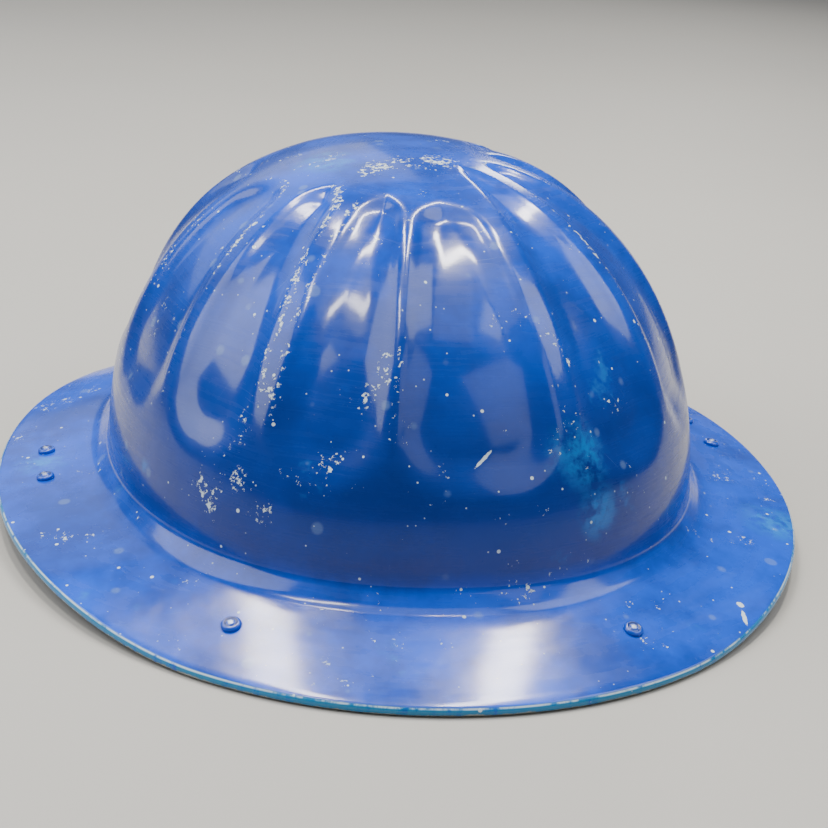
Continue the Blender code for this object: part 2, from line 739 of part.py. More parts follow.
def build():
    clear_scene()
    shell = make_shell()
    stations = rivet_stations()
    rivet = rivet_mesh()
    rivet.materials.append(material("rivet_metal"))
    stud_shape = stud_mesh()
    stud_shape.materials.append(material("plated_steel"))

    strips = {}
    studs = {}
    for label, degrees in STRAP_DIRECTIONS.items():
        angle = band_angle(radians(degrees))
        point, out = band_point(angle)
        spot = point + out * KEY_REACH
        studs[label] = Vector((spot.x, spot.y, PAD_TOP + GAP))
        key_objects("strap_key_" + label, frame_at(point, out, PAD_TOP + GAP))
        stud = bpy.data.objects.new("hanger_stud_" + label, stud_shape)
        stud.location = studs[label]
        bpy.context.scene.collection.objects.link(stud)
        if label.startswith("side"):
            continue
        path, across = hanger_path(stations[label], studs[label])
        mesh = bent_strip("hanger_strip_" + label, path, [STRIP_WIDTH] * 6, across, STRIP)
        strips[label] = add_object("hanger_strip_" + label, mesh, "plated_steel")

    for side_name, y in SIDE_RIVET_Y.items():
        fore = stations["side_fore_" + side_name]
        aft = stations["side_aft_" + side_name]
        middle = side_station(side_name, y)
        label = "side_" + side_name
        path, across = hanger_path(middle, studs[label])
        widths = [SIDE_STRIP_WIDTH] * 2 + [TONGUE_WIDTH] * 4
        mesh = bent_strip("side_bracket_" + side_name, path, widths, across, STRIP)
        bracket = add_object("side_bracket_" + side_name, mesh, "plated_steel")
        strips[label] = bracket
        tongue_top = path[3].lerp(path[4], PIVOT_PLACE)
        tongue_up = across.cross((path[4] - path[3]).normalized()).normalized()
        if tongue_up.z < 0:
            tongue_up.negate()
        below = STRIP + LOOP_WIRE + LOOP_CLEAR + BARREL_WALL * 0.7
        pivot = tongue_top - tongue_up * below
        add_chin_loop(side_name, bracket, pivot)
        for station, name in ((fore, "fore"), (aft, "aft")):
            drill([shell, bracket], f"rivet_hole_side_{name}_{side_name}", station.point,
                  station.normal, HOLE_RADIUS)
    for label in ("front_left", "front_right", "rear_left", "rear_right"):
        station = stations[label]
        drill([shell, strips[label]], "rivet_hole_" + label, station.point, station.normal,
              HOLE_RADIUS)
    for label, strip in strips.items():
        drill([strip], "stud_hole_" + label, studs[label], Vector((0, 0, 1)), HOLE_RADIUS)
    for label, station in stations.items():
        item = bpy.data.objects.new("rivet_" + label, rivet)
        item.matrix_world = upright(station.point, station.normal)
        bpy.context.scene.collection.objects.link(item)

    band_span = 180 - BAND_END
    add_object("headband", curved_band("headband", spread_angles(-band_span, band_span, 56), 0,
                                       BAND_WALL, BAND_LOW, BAND_HIGH), "band_leather")
    sweat_offset = -(BAND_WALL / 2 + GAP + SWEAT_WALL / 2)
    add_object("sweatband", curved_band("sweatband", spread_angles(-SWEAT_REACH, SWEAT_REACH, 30),
                                        sweat_offset, SWEAT_WALL, SWEAT_LOW, SWEAT_HIGH),
               "sweat_leather")
    nape_offset = BAND_WALL / 2 + GAP + NAPE_WALL / 2
    nape_mesh = curved_band("nape_strap", spread_angles(180 - NAPE_REACH, 180 + NAPE_REACH, 24),
                            nape_offset, NAPE_WALL, NAPE_LOW, NAPE_HIGH)
    nape_pivot = Vector((0, BAND_CENTRE_Y, 0))
    nape_mesh.transform(Matrix.Translation(-nape_pivot))
    nape = add_object("nape_strap", nape_mesh, "band_leather")
    nape.location = nape_pivot
    for side_name, sign in (("left", -1), ("right", 1)):
        add_buckle("nape_buckle_" + side_name, radians(180 - BUCKLE_ANGLE) * sign)

    for order, (name, start, end) in enumerate(
            (("diagonal_b", "front_right", "rear_left"),
             ("diagonal_a", "front_left", "rear_right"),
             ("side", "side_left", "side_right"))):
        ends = (STRAP_DIRECTIONS[start], STRAP_DIRECTIONS[end])
        strap = strap_mesh("crown_strap_" + name, ends, CROWN_HEIGHT - CROWN_STEP * order)
        add_object("crown_strap_" + name, strap, "webbing")
    add_object("crown_patch", patch_mesh(), "sweat_leather")


def add_buckle(name, angle):
    """A metal slider loop round the headband and the nape strap."""
    point, out = band_point(angle)
    frame = frame_at(point, out, (BAND_LOW + BAND_HIGH) / 2)
    inner = -(BAND_WALL / 2 + HEAD_CLEAR)
    outer = BAND_WALL / 2 + GAP + NAPE_WALL + HEAD_CLEAR
    tall = (BAND_HIGH - BAND_LOW) / 2 + HEAD_CLEAR
    shape = bmesh.new()
    box_shape(shape, frame, (inner - BUCKLE_WIRE, -BUCKLE_HALF, -tall - BUCKLE_WIRE),
              (outer + BUCKLE_WIRE, BUCKLE_HALF, tall + BUCKLE_WIRE))
    buckle = add_object(name, to_mesh(name, shape, 25), "plated_steel")
    window = bmesh.new()
    box_shape(window, frame, (inner, -0.01, -tall), (outer, 0.01, tall))
    boolean(buckle, guide(name + "_window", to_mesh(name + "_window", window, 25)), "DIFFERENCE")


def patch_mesh():
    """A round leather patch over the crossing of the crown straps, bent like them."""
    shape = bmesh.new()
    base = CROWN_HEIGHT + WEB / 2 + GAP
    reach = BAND_FRONT - BAND_CENTRE_Y
    rise = CROWN_HEIGHT - BAND_HIGH

    def height(distance):
        return base - rise * (1 - sqrt(1 - (distance / reach) ** 2)) * PATCH_FOLLOW

    rings = []
    segments = 24
    for radius, lift in ((PATCH_RADIUS / 2, 0), (PATCH_RADIUS, 0), (PATCH_RADIUS, PATCH_WALL),
                         (PATCH_RADIUS / 2, PATCH_WALL)):
        rings.append([shape.verts.new((radius * sin(2 * pi * k / segments),
                                       DOME_SHIFT - radius * cos(2 * pi * k / segments),
                                       height(radius) + lift)) for k in range(segments)])
    lower = shape.verts.new((0, DOME_SHIFT, height(0)))
    upper = shape.verts.new((0, DOME_SHIFT, height(0) + PATCH_WALL))
    for k in range(segments):
        after = (k + 1) % segments
        shape.faces.new((lower, rings[0][k], rings[0][after]))
        shape.faces.new((upper, rings[3][after], rings[3][k]))
        for near, far in zip(rings, rings[1:]):
            shape.faces.new((near[k], far[k], far[after], near[after]))
    return to_mesh("crown_patch", shape, 50)


build()
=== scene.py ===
"""The looks of the full-brim hard hat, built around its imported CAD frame.

Metres, +Z up, the front of the hat towards -Y, as in the frame. The fine shell repeats the
shell's formulas with more points, and the suspension's soft pieces replace their plain solids.
"""
from bisect import bisect_right
from functools import reduce
from math import atan, atan2, cos, exp, hypot, pi, radians, sin, sqrt

import bmesh
import bpy
from mathutils import Matrix, Vector, noise


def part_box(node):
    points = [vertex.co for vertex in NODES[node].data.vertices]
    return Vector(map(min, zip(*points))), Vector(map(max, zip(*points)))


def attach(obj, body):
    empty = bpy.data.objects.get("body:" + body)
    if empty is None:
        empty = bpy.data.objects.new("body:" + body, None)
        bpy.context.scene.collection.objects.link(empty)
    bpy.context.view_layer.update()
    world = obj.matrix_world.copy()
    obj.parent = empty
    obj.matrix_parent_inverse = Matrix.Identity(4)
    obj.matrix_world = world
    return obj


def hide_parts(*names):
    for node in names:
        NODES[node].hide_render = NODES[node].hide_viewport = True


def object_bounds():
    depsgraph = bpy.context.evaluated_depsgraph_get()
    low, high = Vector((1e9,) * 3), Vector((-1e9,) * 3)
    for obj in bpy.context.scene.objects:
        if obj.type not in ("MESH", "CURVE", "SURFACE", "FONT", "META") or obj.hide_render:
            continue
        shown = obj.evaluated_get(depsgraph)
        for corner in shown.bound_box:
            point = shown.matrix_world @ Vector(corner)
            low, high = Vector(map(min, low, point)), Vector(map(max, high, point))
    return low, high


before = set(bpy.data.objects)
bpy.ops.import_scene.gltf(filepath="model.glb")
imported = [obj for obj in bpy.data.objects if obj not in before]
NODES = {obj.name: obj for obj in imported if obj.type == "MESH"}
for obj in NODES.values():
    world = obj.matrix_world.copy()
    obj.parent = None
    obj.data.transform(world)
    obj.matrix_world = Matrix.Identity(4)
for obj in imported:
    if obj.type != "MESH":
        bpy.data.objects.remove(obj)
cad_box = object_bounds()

SCENE = bpy.context.scene

# ---------------------------------------------------------------- sizes

# Shell, as in the CAD
BRIM_HALF_X = cad_box[1].x
BRIM_HALF_Y = 0.165
BRIM_POWER = 2.06
DOME_HALF_X = 0.1022
DOME_HALF_Y = 0.1310
DOME_POWER = 2.22
DOME_SHIFT = 0.006
HEIGHT = cad_box[1].z
CROWN_FLATNESS = 2.01
WALL_FULLNESS = 2.43
SHEET = 0.0013
FOOT_HEIGHT = 0.0137
UPPER_FILLET = 0.0035
FILLET_BAND = 0.0035
LOWER_FILLET = 0.0083
SIDE_LIFT = 0.0059
HEM_RADIUS = 0.0017
HEM_RETURN = 0.0022

# Ribs: direction in degrees from the front, half the crest, the flank, how worn its left and
# right edges are, and the plan radius of the top of the panel that follows it
RIBS = ((-57.0, 0.0070, 0.0055, 1.0, 0.45, 0.052), (-33.5, 0.0070, 0.0048, 1.1, 0.75, 0.054),
        (-9.5, 0.0042, 0.0038, 0.50, 0.55, 0.058), (21.5, 0.0070, 0.0048, 0.30, 0.45, 0.028),
        (49.5, 0.0070, 0.0055, 0.30, 0.75, 0.028), (77.7, 0.0068, 0.0055, 0.6, 0.6, 0.028),
        (105.9, 0.0068, 0.0055, 0.6, 0.6, 0.030), (134.0, 0.0068, 0.0055, 0.8, 0.5, 0.040),
        (162.2, 0.0068, 0.0055, 0.5, 0.7, 0.050), (190.4, 0.0068, 0.0055, 0.9, 0.6, 0.055),
        (218.6, 0.0068, 0.0055, 0.5, 0.8, 0.055), (246.7, 0.0068, 0.0055, 0.6, 0.6, 0.055),
        (274.9, 0.0068, 0.0055, 0.7, 0.7, 0.055))
PANEL_DEPTH = 0.0030
PANEL_LOW = 0.052
PANEL_FADE = 0.014           # the panels' lower ends fade out over this height
PANEL_TOP_FADE = 0.0088      # their upper ends, over this distance
PANEL_LOW_RADIUS = 0.014
PANEL_TOP_RADIUS = 0.009

# Rivets and hanger studs, as in the CAD
RIVET_HEAD = 0.0030
RIVET_HEAD_HEIGHT = 0.0012
RIVET_LENGTH = 0.0061
RIVET_GRIP = 0.0036          # from the head's seat to the set end
RIVET_SEAT = 0.0001          # how far the head is let into the paint
STUD_NECK = 0.0030
STUD_HEAD_HEIGHT = 0.0013
SHANK = 0.0016

# Headband and suspension, as in the CAD
BAND_HALF_X = 0.077
BAND_FRONT = 0.120
BAND_POWER = 2.30
BAND_CENTRE_Y = 0.0275
BAND_LOW = 0.008
BAND_HIGH = 0.042
BAND_WALL = 0.0016
BAND_END = 16
SWEAT_WALL = 0.0022
SWEAT_CROWN = 0.0011         # how far its inner side swells
SWEAT_REACH = 74
SWEAT_LOW = 0.007
SWEAT_HIGH = 0.044
NAPE_WALL = 0.0016
NAPE_REACH = 62
NAPE_LOW = 0.009
NAPE_HIGH = 0.0205
EYELETS = 9
EYELET_STEP = 7.6            # degrees round the nape strap
WEB_WIDTH = 0.019
WEB = 0.0012
WEB_WAVER = 0.00016
CROWN_HEIGHT = 0.0880
CROWN_STEP = 0.0015
STRAP_FOOT = 0.0215
STRAP_DIRECTIONS = {"front_left": -24, "side_left": -79, "rear_left": -156,
                    "front_right": 24, "side_right": 103, "rear_right": 156}
PATCH_RADIUS = 0.024
PATCH_WALL = 0.0015
PATCH_FOLLOW = 0.8
PATCH_GROOVE = 0.0003
GAP = 0.0003
SHARP_FROM = 50              # degrees from which an edge of a lofted piece looks sharp
LOOP_WIRE = 0.0010
LOOP_TOP_RADIUS = 0.0026
LOOP_LOW_RADIUS = 0.0040

# Stitching: length of a stitch, the space to the next one, the thread's radius, how deep it
# sinks, how far the seam is from the leather's edge, and how wide the seam's groove is
STITCH = 0.0026
STITCH_SPACE = 0.0012
THREAD = 0.00028
THREAD_SINK = 0.0001
SEAM = 0.0030
GROOVE_SPREAD = 0.0006
STITCH_RINGS = 6
STITCH_SIDES = 6
STITCHED_ROWS = (11, 14)     # rows near each end of a crown strap, sewn across

# Fine grid of the shell
COLUMNS = 480
DOME_ROWS = 112

# Camera: where it is seen from, how far it is, and what it looks at
CAMERA_AZIMUTH = -8.0
CAMERA_ELEVATION = 22.69
CAMERA_ROLL = 3.73
CAMERA_DISTANCE = 0.6075
CAMERA_LENS = 72.1
CAMERA_SIDE = 0.0061
CAMERA_HEIGHT = 0.0277


# ---------------------------------------------------------------- node materials

class Output:
    """A node's output. Sums, products and comparisons of outputs add Math nodes."""

    def __init__(self, look, socket):
        self.look = look
        self.socket = socket

    def __add__(self, other):
        return self.look.math("ADD", self, other)

    def __sub__(self, other):
        return self.look.math("SUBTRACT", self, other)

    def __rsub__(self, other):
        return self.look.math("SUBTRACT", other, self)

    def __mul__(self, other):
        return self.look.math("MULTIPLY", self, other)

    def __truediv__(self, other):
        return self.look.math("DIVIDE", self, other)

    def __gt__(self, other):
        return self.look.math("GREATER_THAN", self, other)


def colour(value):
    """A colour given as three numbers gets its alpha."""
    if isinstance(value, tuple) and len(value) == 3:
        return (*value, 1.0)
    return value


class Finish:
    """A node material under construction. Lengths in its texture scales are in metres."""

    def __init__(self, name):
        self.material = bpy.data.materials.new(name)
        self.material.use_nodes = True
        self.tree = self.material.node_tree
        self.shader = self.tree.nodes["Principled BSDF"]
        self.place = self.node("TexCoord", "Object", {})

    def link(self, source, socket):
        """Joins an output to a socket, or sets the socket to a plain value."""
        if isinstance(source, Output):
            self.tree.links.new(source.socket, socket)
        else:
            socket.default_value = source

    def node(self, kind, output, inputs, **settings):
        """One output of a new node, with its settings and its inputs by name or by number."""
        step = self.tree.nodes.new("ShaderNode" + kind)
        for name, value in settings.items():
            setattr(step, name, value)
        for key, value in inputs.items():
            self.link(value, step.inputs[key])
        return Output(self, step.outputs[output])

    def math(self, operation, first, second=0.0):
        return self.node("Math", "Value", {0: first, 1: second}, operation=operation)

    def most(self, *values):
        """The largest of some values."""
        return reduce(lambda first, second: self.math("MAXIMUM", first, second), values)

    def span(self, value, low, high, to_low=0.0, to_high=1.0):
        """Maps low..high to to_low..to_high smoothly, and holds it beyond them."""
        return self.node("MapRange", "Result", {"Value": value, "From Min": low, "From Max": high,
                                                "To Min": to_low, "To Max": to_high},
                         interpolation_type="SMOOTHSTEP")

    def stretched(self, scale=(1, 1, 1), turn=(0, 0, 0), shift=(0, 0, 0)):
        return self.node("Mapping", "Vector", {"Vector": self.place, "Scale": scale,
                                               "Rotation": [radians(value) for value in turn],
                                               "Location": shift})

    def shifted(self, *shift):
        return self.stretched(shift=shift)

    def noise(self, size, detail=3.0, rough=0.55, at=None, warp=0.0):
        """Value noise whose lumps are about that size."""
        return self.node("TexNoise", "Fac", {"Vector": self.place if at is None else at,
                                             "Scale": 1 / size, "Detail": detail,
                                             "Roughness": rough, "Distortion": warp})

    def cells(self, size):
        """Voronoi cells of about that size: distance output and random colour output."""
        away = self.node("TexVoronoi", "Distance", {"Vector": self.place, "Scale": 1 / size})
        return away, Output(self, away.socket.node.outputs["Color"])

    def mix(self, share, first, second):
        return self.node("Mix", "Result", {"Factor": share, "A": colour(first),
                                           "B": colour(second)}, data_type="RGBA")

    def attribute(self, name):
        return self.node("Attribute", "Fac", {}, attribute_name=name)

    def height(self):
        """How high a place is above the object's own origin."""
        return self.node("SeparateXYZ", "Z", {0: self.place})

    def distance(self, first, centre):
        return self.node("VectorMath", "Value", {0: first, 1: centre}, operation="DISTANCE")

    def aligned(self, centre, turn, scale):
        """Places seen from a centre, turned back by a turn in degrees, and then scaled."""
        moved = self.node("VectorMath", "Vector", {0: self.place, 1: centre}, operation="SUBTRACT")
        turned = self.node("VectorRotate", "Vector",
                           {"Vector": moved, "Rotation": [radians(value) for value in turn]},
                           rotation_type="EULER_XYZ", invert=True)
        return self.node("VectorMath", "Vector", {0: turned, 1: scale}, operation="MULTIPLY")

    def channel(self, source, index):
        return self.node("SeparateColor", index, {0: source})

    def bump(self, height, distance, onto=None):
        normal = {} if onto is None else {"Normal": onto}
        return self.node("Bump", "Normal", {"Height": height, "Distance": distance, **normal})

    def set(self, **values):
        """Sets or links the shader's own sockets; underscores stand for spaces."""
        for name, value in values.items():
            self.link(colour(value), self.shader.inputs[name.replace("_", " ")])
        return self.material


# ---------------------------------------------------------------- paint

BLUE_DEEP = (0.0010, 0.038, 0.330)
BLUE_BODY = (0.0016, 0.078, 0.660)
BLUE_WALL_SHADE = (0.0002, 0.022, 0.185)
BLUE_THIN = (0.001, 0.230, 0.700)
BLUE_SPOT = (0.200, 0.330, 0.550)
HEM_THIN = (0.010, 0.220, 0.400)
SCRATCH = (0.200, 0.340, 0.550)
PALE_CHIP = (0.600, 0.700, 0.760)
BARE_METAL = (0.470, 0.480, 0.430)

# The dome's wall gets painted shade, a darker blue: heights where that starts, heights where it
# fades, and how much
WALL_SHADE_FOOT = (0.016, 0.026)
WALL_SHADE_TOP = (0.050, 0.122)
WALL_SHADE_SHARE = 0.80

# Places where the paint is rubbed thin: centre and radius
RUBBED = (((0.040, -0.110, 0.056), 0.016), ((0.047, -0.112, 0.038), 0.012),
          ((-0.124, -0.010, 0.011), 0.014), ((0.125, -0.057, 0.010), 0.020),
          ((-0.030, -0.010, 0.119), 0.016), ((0.030, 0.100, 0.090), 0.024),
          ((-0.085, 0.070, 0.070), 0.020))

# Places with many small chips: centre and radius
CHIPPED = (((0.001, -0.017, 0.1225), 0.017), ((-0.0165, -0.022, 0.1212), 0.011),
           ((-0.0683, -0.0944, 0.0381), 0.014), ((-0.0597, -0.1010, 0.0435), 0.010),
           ((-0.0530, -0.1080, 0.0360), 0.009), ((-0.0600, -0.0915, 0.0590), 0.007),
           ((0.0374, -0.0942, 0.0804), 0.004), ((-0.0700, 0.0500, 0.0900), 0.012),
           ((0.0600, 0.0900, 0.0700), 0.014), ((-0.0250, 0.1150, 0.0600), 0.012))

# Knocks through the paint: centre, half length, half width, and turn in degrees
KNOCKS = (((0.0096, -0.1149, 0.0560), 0.0046, 0.0006, (0, -40, 25)),
          ((0.0952, -0.1118, 0.0073), 0.0015, 0.0013, (0, 13, -60)),
          ((0.0947, -0.1178, 0.0059), 0.0038, 0.0009, (0, 13, -95)),
          ((-0.1290, 0.0400, 0.0090), 0.0030, 0.0010, (0, 0, 75)),
          ((0.0400, 0.1490, 0.0080), 0.0036, 0.0009, (0, 0, 15)))


def flecks(look, size, radius, rarity, crisp=0.15):
    """Small spots: 1 inside. Only the share of cells beyond rarity has one."""
    distance, tint = look.cells(size)
    chosen = look.channel(tint, 0)
    reach = look.span(chosen, rarity, 1.0, 0.0, radius / size)
    return look.span(reach - distance, 0.0, crisp * radius / size) * (chosen > rarity)


def scratches(look, turn, length, width, rarity):
    """Fine straight scratches in one direction: 1 on a scratch."""
    flat = look.stretched((1 / length, 1 / width, 1 / length), turn)
    lines = look.noise(1.0, 2.0, 0.5, flat, 0.15)
    broken = look.noise(0.030, 2.0, 0.5, look.stretched(turn=turn, shift=(0.3, 0.1, 0.7)))
    return look.span(lines, rarity, rarity + 0.03) * look.span(broken, 0.50, 0.62)


def worn_places(look, places, ragged):
    """1 in the middle of each place, fading raggedly to 0."""
    insides = []
    for centre, radius in places:
        away = look.distance(look.place, centre) + ragged * (radius * 0.9)
        insides.append(look.span(away, radius * 0.65, radius * 1.35, 1.0, 0.0))
    return look.most(*insides)


def knocks(look, ragged):
    """1 inside each knock."""
    insides = []
    for centre, half_length, half_width, turn in KNOCKS:
        local = look.aligned(centre, turn, (1 / half_length, 1 / half_width, 1 / half_width))
        away = look.distance(local, (0, 0, 0)) + ragged * 1.1
        insides.append(look.span(away, 1.35, 1.50, 1.0, 0.0))
    return look.most(*insides)


def blue_body(look, up, cloud):
    """The paint itself: clouded, with painted shade on the dome's wall, rubbed thin and
    water-spotted.
    """
    body = look.mix(look.span(cloud, 0.35, 0.68), BLUE_DEEP, BLUE_BODY)
    # painted shade: a darker blue on the dome's lower wall, fading out upwards
    wall = look.span(up, *WALL_SHADE_FOOT) * look.span(up, *WALL_SHADE_TOP, WALL_SHADE_SHARE, 0.0)
    body = look.mix(wall, body, BLUE_WALL_SHADE)
    patches = look.noise(0.030, 5.0, 0.7, look.shifted(0.2, 0.55, 0.1))
    rubbed = look.most(look.span(patches, 0.64, 0.74, 0.0, 0.6), worn_places(look, RUBBED, cloud))
    mottle = look.span(look.noise(0.006, 4.0, 0.65), 0.38, 0.62)
    body = look.mix(rubbed * mottle * 0.62, body, BLUE_THIN)
    return look.mix(flecks(look, 0.0095, 0.0026, 0.50, crisp=0.35) * 0.26, body, BLUE_SPOT)


def paint_chips(look, up, cloud):
    """1 where the paint is chipped: strewn specks, struck places and the ribs' worn edges."""
    edge = look.attribute("edge")
    fine = look.noise(0.0016, 4.0, 0.7, look.shifted(0.9, 0.9, 0.2))
    cluster = look.noise(0.017, 3.0, 0.65, look.shifted(0.4, 1.9, 0.8))
    struck = worn_places(look, CHIPPED, cloud) * 0.106
    open_chip = look.span(fine * 0.5 + cluster * 0.5 + struck, 0.636, 0.644)
    worn_edge = look.span(edge, 0.20, 0.95) * look.span(up, 0.040, 0.112, 0.035, 0.110)
    edge_chip = look.span(fine * 0.68 + cluster * 0.32 + worn_edge, 0.640, 0.650) * (edge > 0.35)
    specks = flecks(look, 0.0050, 0.00070, 0.66)
    dust = flecks(look, 0.0024, 0.00034, 0.74) * 0.7
    return look.most(open_chip, edge_chip, specks, dust, knocks(look, fine))


def hem_wear(look, body):
    """The turned edge: its thin pale paint, its chipped rim and its bare underside."""
    hem = look.attribute("hem")
    mottle = look.noise(0.0035, 4.0, 0.7, look.stretched((1, 1, 0.35)))
    patch = look.noise(0.022, 3.0, 0.6, look.shifted(0.6, 0.2, 0.9))
    thin = look.span(hem, 0.06, 0.22) * look.span(mottle, 0.2, 0.5)
    body = look.mix(thin * 0.85, body, HEM_THIN)
    rim = look.span(hem, 0.12, 0.18) * look.span(hem, 0.20, 0.30, 1.0, 0.0)
    rim = rim * look.span(mottle * 0.45 + patch * 0.55, 0.44, 0.54) * 0.8
    bare = look.span(hem * 0.7 + mottle * 0.35 + patch * 0.35, 0.74, 0.84)
    return body, rim, bare


def blue_paint():
    """Glossy deep blue, chipped along the ribs' edges and the brim's edge, scratched and spotted."""
    look = Finish("blue_paint")
    up = look.height()
    cloud = look.noise(0.042, 5.0, 0.66)
    marks = look.most(scratches(look, (0, 0, 25), 0.035, 0.00030, 0.735),
                      scratches(look, (0, 60, -40), 0.028, 0.00026, 0.740))
    body = look.mix(marks * 0.35, blue_body(look, up, cloud), SCRATCH)
    body, rim, bare = hem_wear(look, body)
    chips = look.most(paint_chips(look, up, cloud), rim)
    painted = look.mix(bare, look.mix(chips, body, PALE_CHIP), BARE_METAL)

    haze = look.noise(0.020, 5.0, 0.7, look.shifted(0.1, 0.2, 1.4))
    rubs = look.noise(1.0, 3.0, 0.6, look.stretched((22, 22, 650)), 0.2)
    rough = look.span(haze, 0.35, 0.70, 0.20, 0.32) + look.span(rubs, 0.35, 0.75, -0.03, 0.11)
    rough = rough + marks * 0.20 + chips * 0.25
    relief = look.bump(look.noise(0.016, 2.0, 0.5), 0.00024)
    relief = look.bump(look.noise(0.0009, 2.0, 0.5), 0.000012, onto=relief)
    relief = look.bump(rubs, 0.000010, onto=relief)
    relief = look.bump(1.0 - look.most(chips, bare), 0.00008, onto=relief)
    return look.set(Base_Color=painted, Roughness=rough, Metallic=bare * 0.85, Normal=relief,
                    Specular_IOR_Level=0.20, Coat_Weight=0.50, Coat_Roughness=0.10)


def inner_metal():
    """The shell's inside: bare drawn aluminium, dulled."""
    look = Finish("shell_inside")
    lines = look.noise(1.0, 3.0, 0.6, look.stretched((60, 60, 900)))
    cloud = look.noise(0.030, 4.0, 0.6)
    tone = look.mix(look.span(cloud, 0.3, 0.7), (0.42, 0.42, 0.40), (0.58, 0.58, 0.56))
    stain = flecks(look, 0.014, 0.0040, 0.60, crisp=0.4)
    tone = look.mix(stain * 0.35, tone, (0.28, 0.27, 0.24))
    return look.set(Base_Color=tone, Metallic=0.85, Normal=look.bump(lines, 0.00004),
                    Roughness=look.span(lines + cloud, 0.7, 1.3, 0.34, 0.52))


# ---------------------------------------------------------------- meshes and pieces

def new_mesh(name, points, faces, *finishes, **layers):
    """A smooth mesh with its materials, and values for its points under their layers' names."""
    mesh = bpy.data.meshes.new(name)
    mesh.from_pydata(points, [], faces)
    for label, values in layers.items():
        mesh.attributes.new(label, "FLOAT", "POINT").data.foreach_set("value", values)
    for finish in finishes:
        mesh.materials.append(finish)
    mesh.shade_smooth()
    return mesh


def face_outwards(mesh):
    """Turns every face of a closed mesh outwards."""
    shape = bmesh.new()
    shape.from_mesh(mesh)
    bmesh.ops.recalc_face_normals(shape, faces=shape.faces)
    shape.to_mesh(mesh)
    shape.free()
    return mesh


def tube_faces(first, rings, count):
    """Quads between rings of count points that follow each other from the point first."""
    faces = []
    for here in range(first, first + (rings - 1) * count, count):
        for k in range(count):
            after = (k + 1) % count
            faces.append((here + k, here + count + k, here + count + after, here + after))
    return faces


def add_piece(name, mesh, body, place=None):
    """A new object, at a placing if one is given, riding on a body of the frame."""
    item = bpy.data.objects.new(name, mesh)
    SCENE.collection.objects.link(item)
    if place is not None:
        item.matrix_world = place
    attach(item, body)
    return item


def facing(place, direction):
    """A placing at a place, with +Z turned to a direction."""
    turn = Vector((0, 0, 1)).rotation_difference(direction)
    return Matrix.Translation(place) @ turn.to_matrix().to_4x4()


# ---------------------------------------------------------------- shell

def signed_power(value, power):
    return abs(value) ** power * (1 if value >= 0 else -1)


def outline(half_x, half_y, power, angle, shift=0.0):
    """A point of a superellipse in plan; angle 0 is the front, and it grows towards +X."""
    x = half_x * signed_power(sin(angle), 2 / power)
    y = -half_y * signed_power(cos(angle), 2 / power)
    return Vector((x, y + shift))


def smooth(value):
    value = min(1.0, max(0.0, value))
    return value * value * (3 - 2 * value)


def edge_lift(angle):
    """The brim's edge lies flat at the front and the rear, and rises at the sides."""
    return SIDE_LIFT * smooth((abs(sin(angle)) - 0.5) / 0.5)


def brim_outline(angle):
    return outline(BRIM_HALF_X, BRIM_HALF_Y, BRIM_POWER, angle)


def dome_outline(angle):
    return outline(DOME_HALF_X, DOME_HALF_Y, DOME_POWER, angle, DOME_SHIFT)


def fillet_run(slope):
    upper = UPPER_FILLET * (1 - cos(pi / 4))
    lower = LOWER_FILLET * (sin(pi / 4) - sin(slope))
    return upper + FILLET_BAND * cos(pi / 4) + lower


def fillet_rise(slope):
    upper = UPPER_FILLET * sin(pi / 4)
    lower = LOWER_FILLET * (cos(slope) - cos(pi / 4))
    return upper + FILLET_BAND * sin(pi / 4) + lower


def brim_slope(angle):
    """Angle at which the brim falls from the fillet to the hem."""
    width = (brim_outline(angle) - dome_outline(angle)).length
    slope = 0.25
    for _ in range(4):
        run = width - HEM_RADIUS * (1 - sin(slope)) - fillet_run(slope)
        hem_top = edge_lift(angle) + HEM_RADIUS * (1 + cos(slope))
        slope = atan((FOOT_HEIGHT - hem_top) / run)
    return slope


def corner_inside(side, end, radius):
    """How far inside a rounded corner a point is, given how far it is from both edges."""
    return radius - hypot(max(radius - side, 0), max(radius - end, 0))


def panel_share(angle, fraction, height):
    """How far down a panel's flank a place on the dome is, and how worn the nearest rib is.

    The first is below 0 on a rib and above 1 in a panel."""
    spread = hypot(DOME_HALF_X * cos(angle), DOME_HALF_Y * sin(angle)) * fraction
    side, flank, worn, behind, top = 1.0, RIBS[0][2], 0.0, 2 * pi, RIBS[0][5]
    for degrees, half, width, left_wear, right_wear, plateau in RIBS:
        turn = (angle - radians(degrees) + pi) % (2 * pi) - pi
        away = abs(turn) * spread - half
        if away < side:
            side, flank, worn = away, width, left_wear if turn < 0 else right_wear
        if turn % (2 * pi) < behind:
            behind, top = turn % (2 * pi), plateau
    plan = dome_outline(angle) - Vector((0, DOME_SHIFT))
    upper = corner_inside(side, fraction * plan.length - top, PANEL_TOP_RADIUS)
    upper *= flank / PANEL_TOP_FADE
    lower = corner_inside(side, height - PANEL_LOW, PANEL_LOW_RADIUS) * flank / PANEL_FADE
    return min(lower, upper) / flank + 0.5, worn


def dome_point(angle, tilt, base):
    """A point of the dome's outside, and how worn it is as a rib's edge."""
    rise = max(cos(tilt), 0.0) ** (2 / CROWN_FLATNESS)
    fraction = sin(tilt) ** (2 / WALL_FULLNESS)
    power = DOME_POWER + (2 - DOME_POWER) * rise
    flat = outline(DOME_HALF_X, DOME_HALF_Y, power, angle) * fraction
    height = base + (HEIGHT - base) * rise
    share, worn = panel_share(angle, fraction, height)
    normal = Vector((flat.x / DOME_HALF_X ** 2, flat.y / DOME_HALF_Y ** 2,
                     (height - base) / (HEIGHT - base) ** 2)).normalized()
    point = Vector((flat.x, flat.y + DOME_SHIFT, height)) - normal * PANEL_DEPTH * smooth(share)
    return point, worn * exp(-((share - 0.05) / 0.28) ** 2)


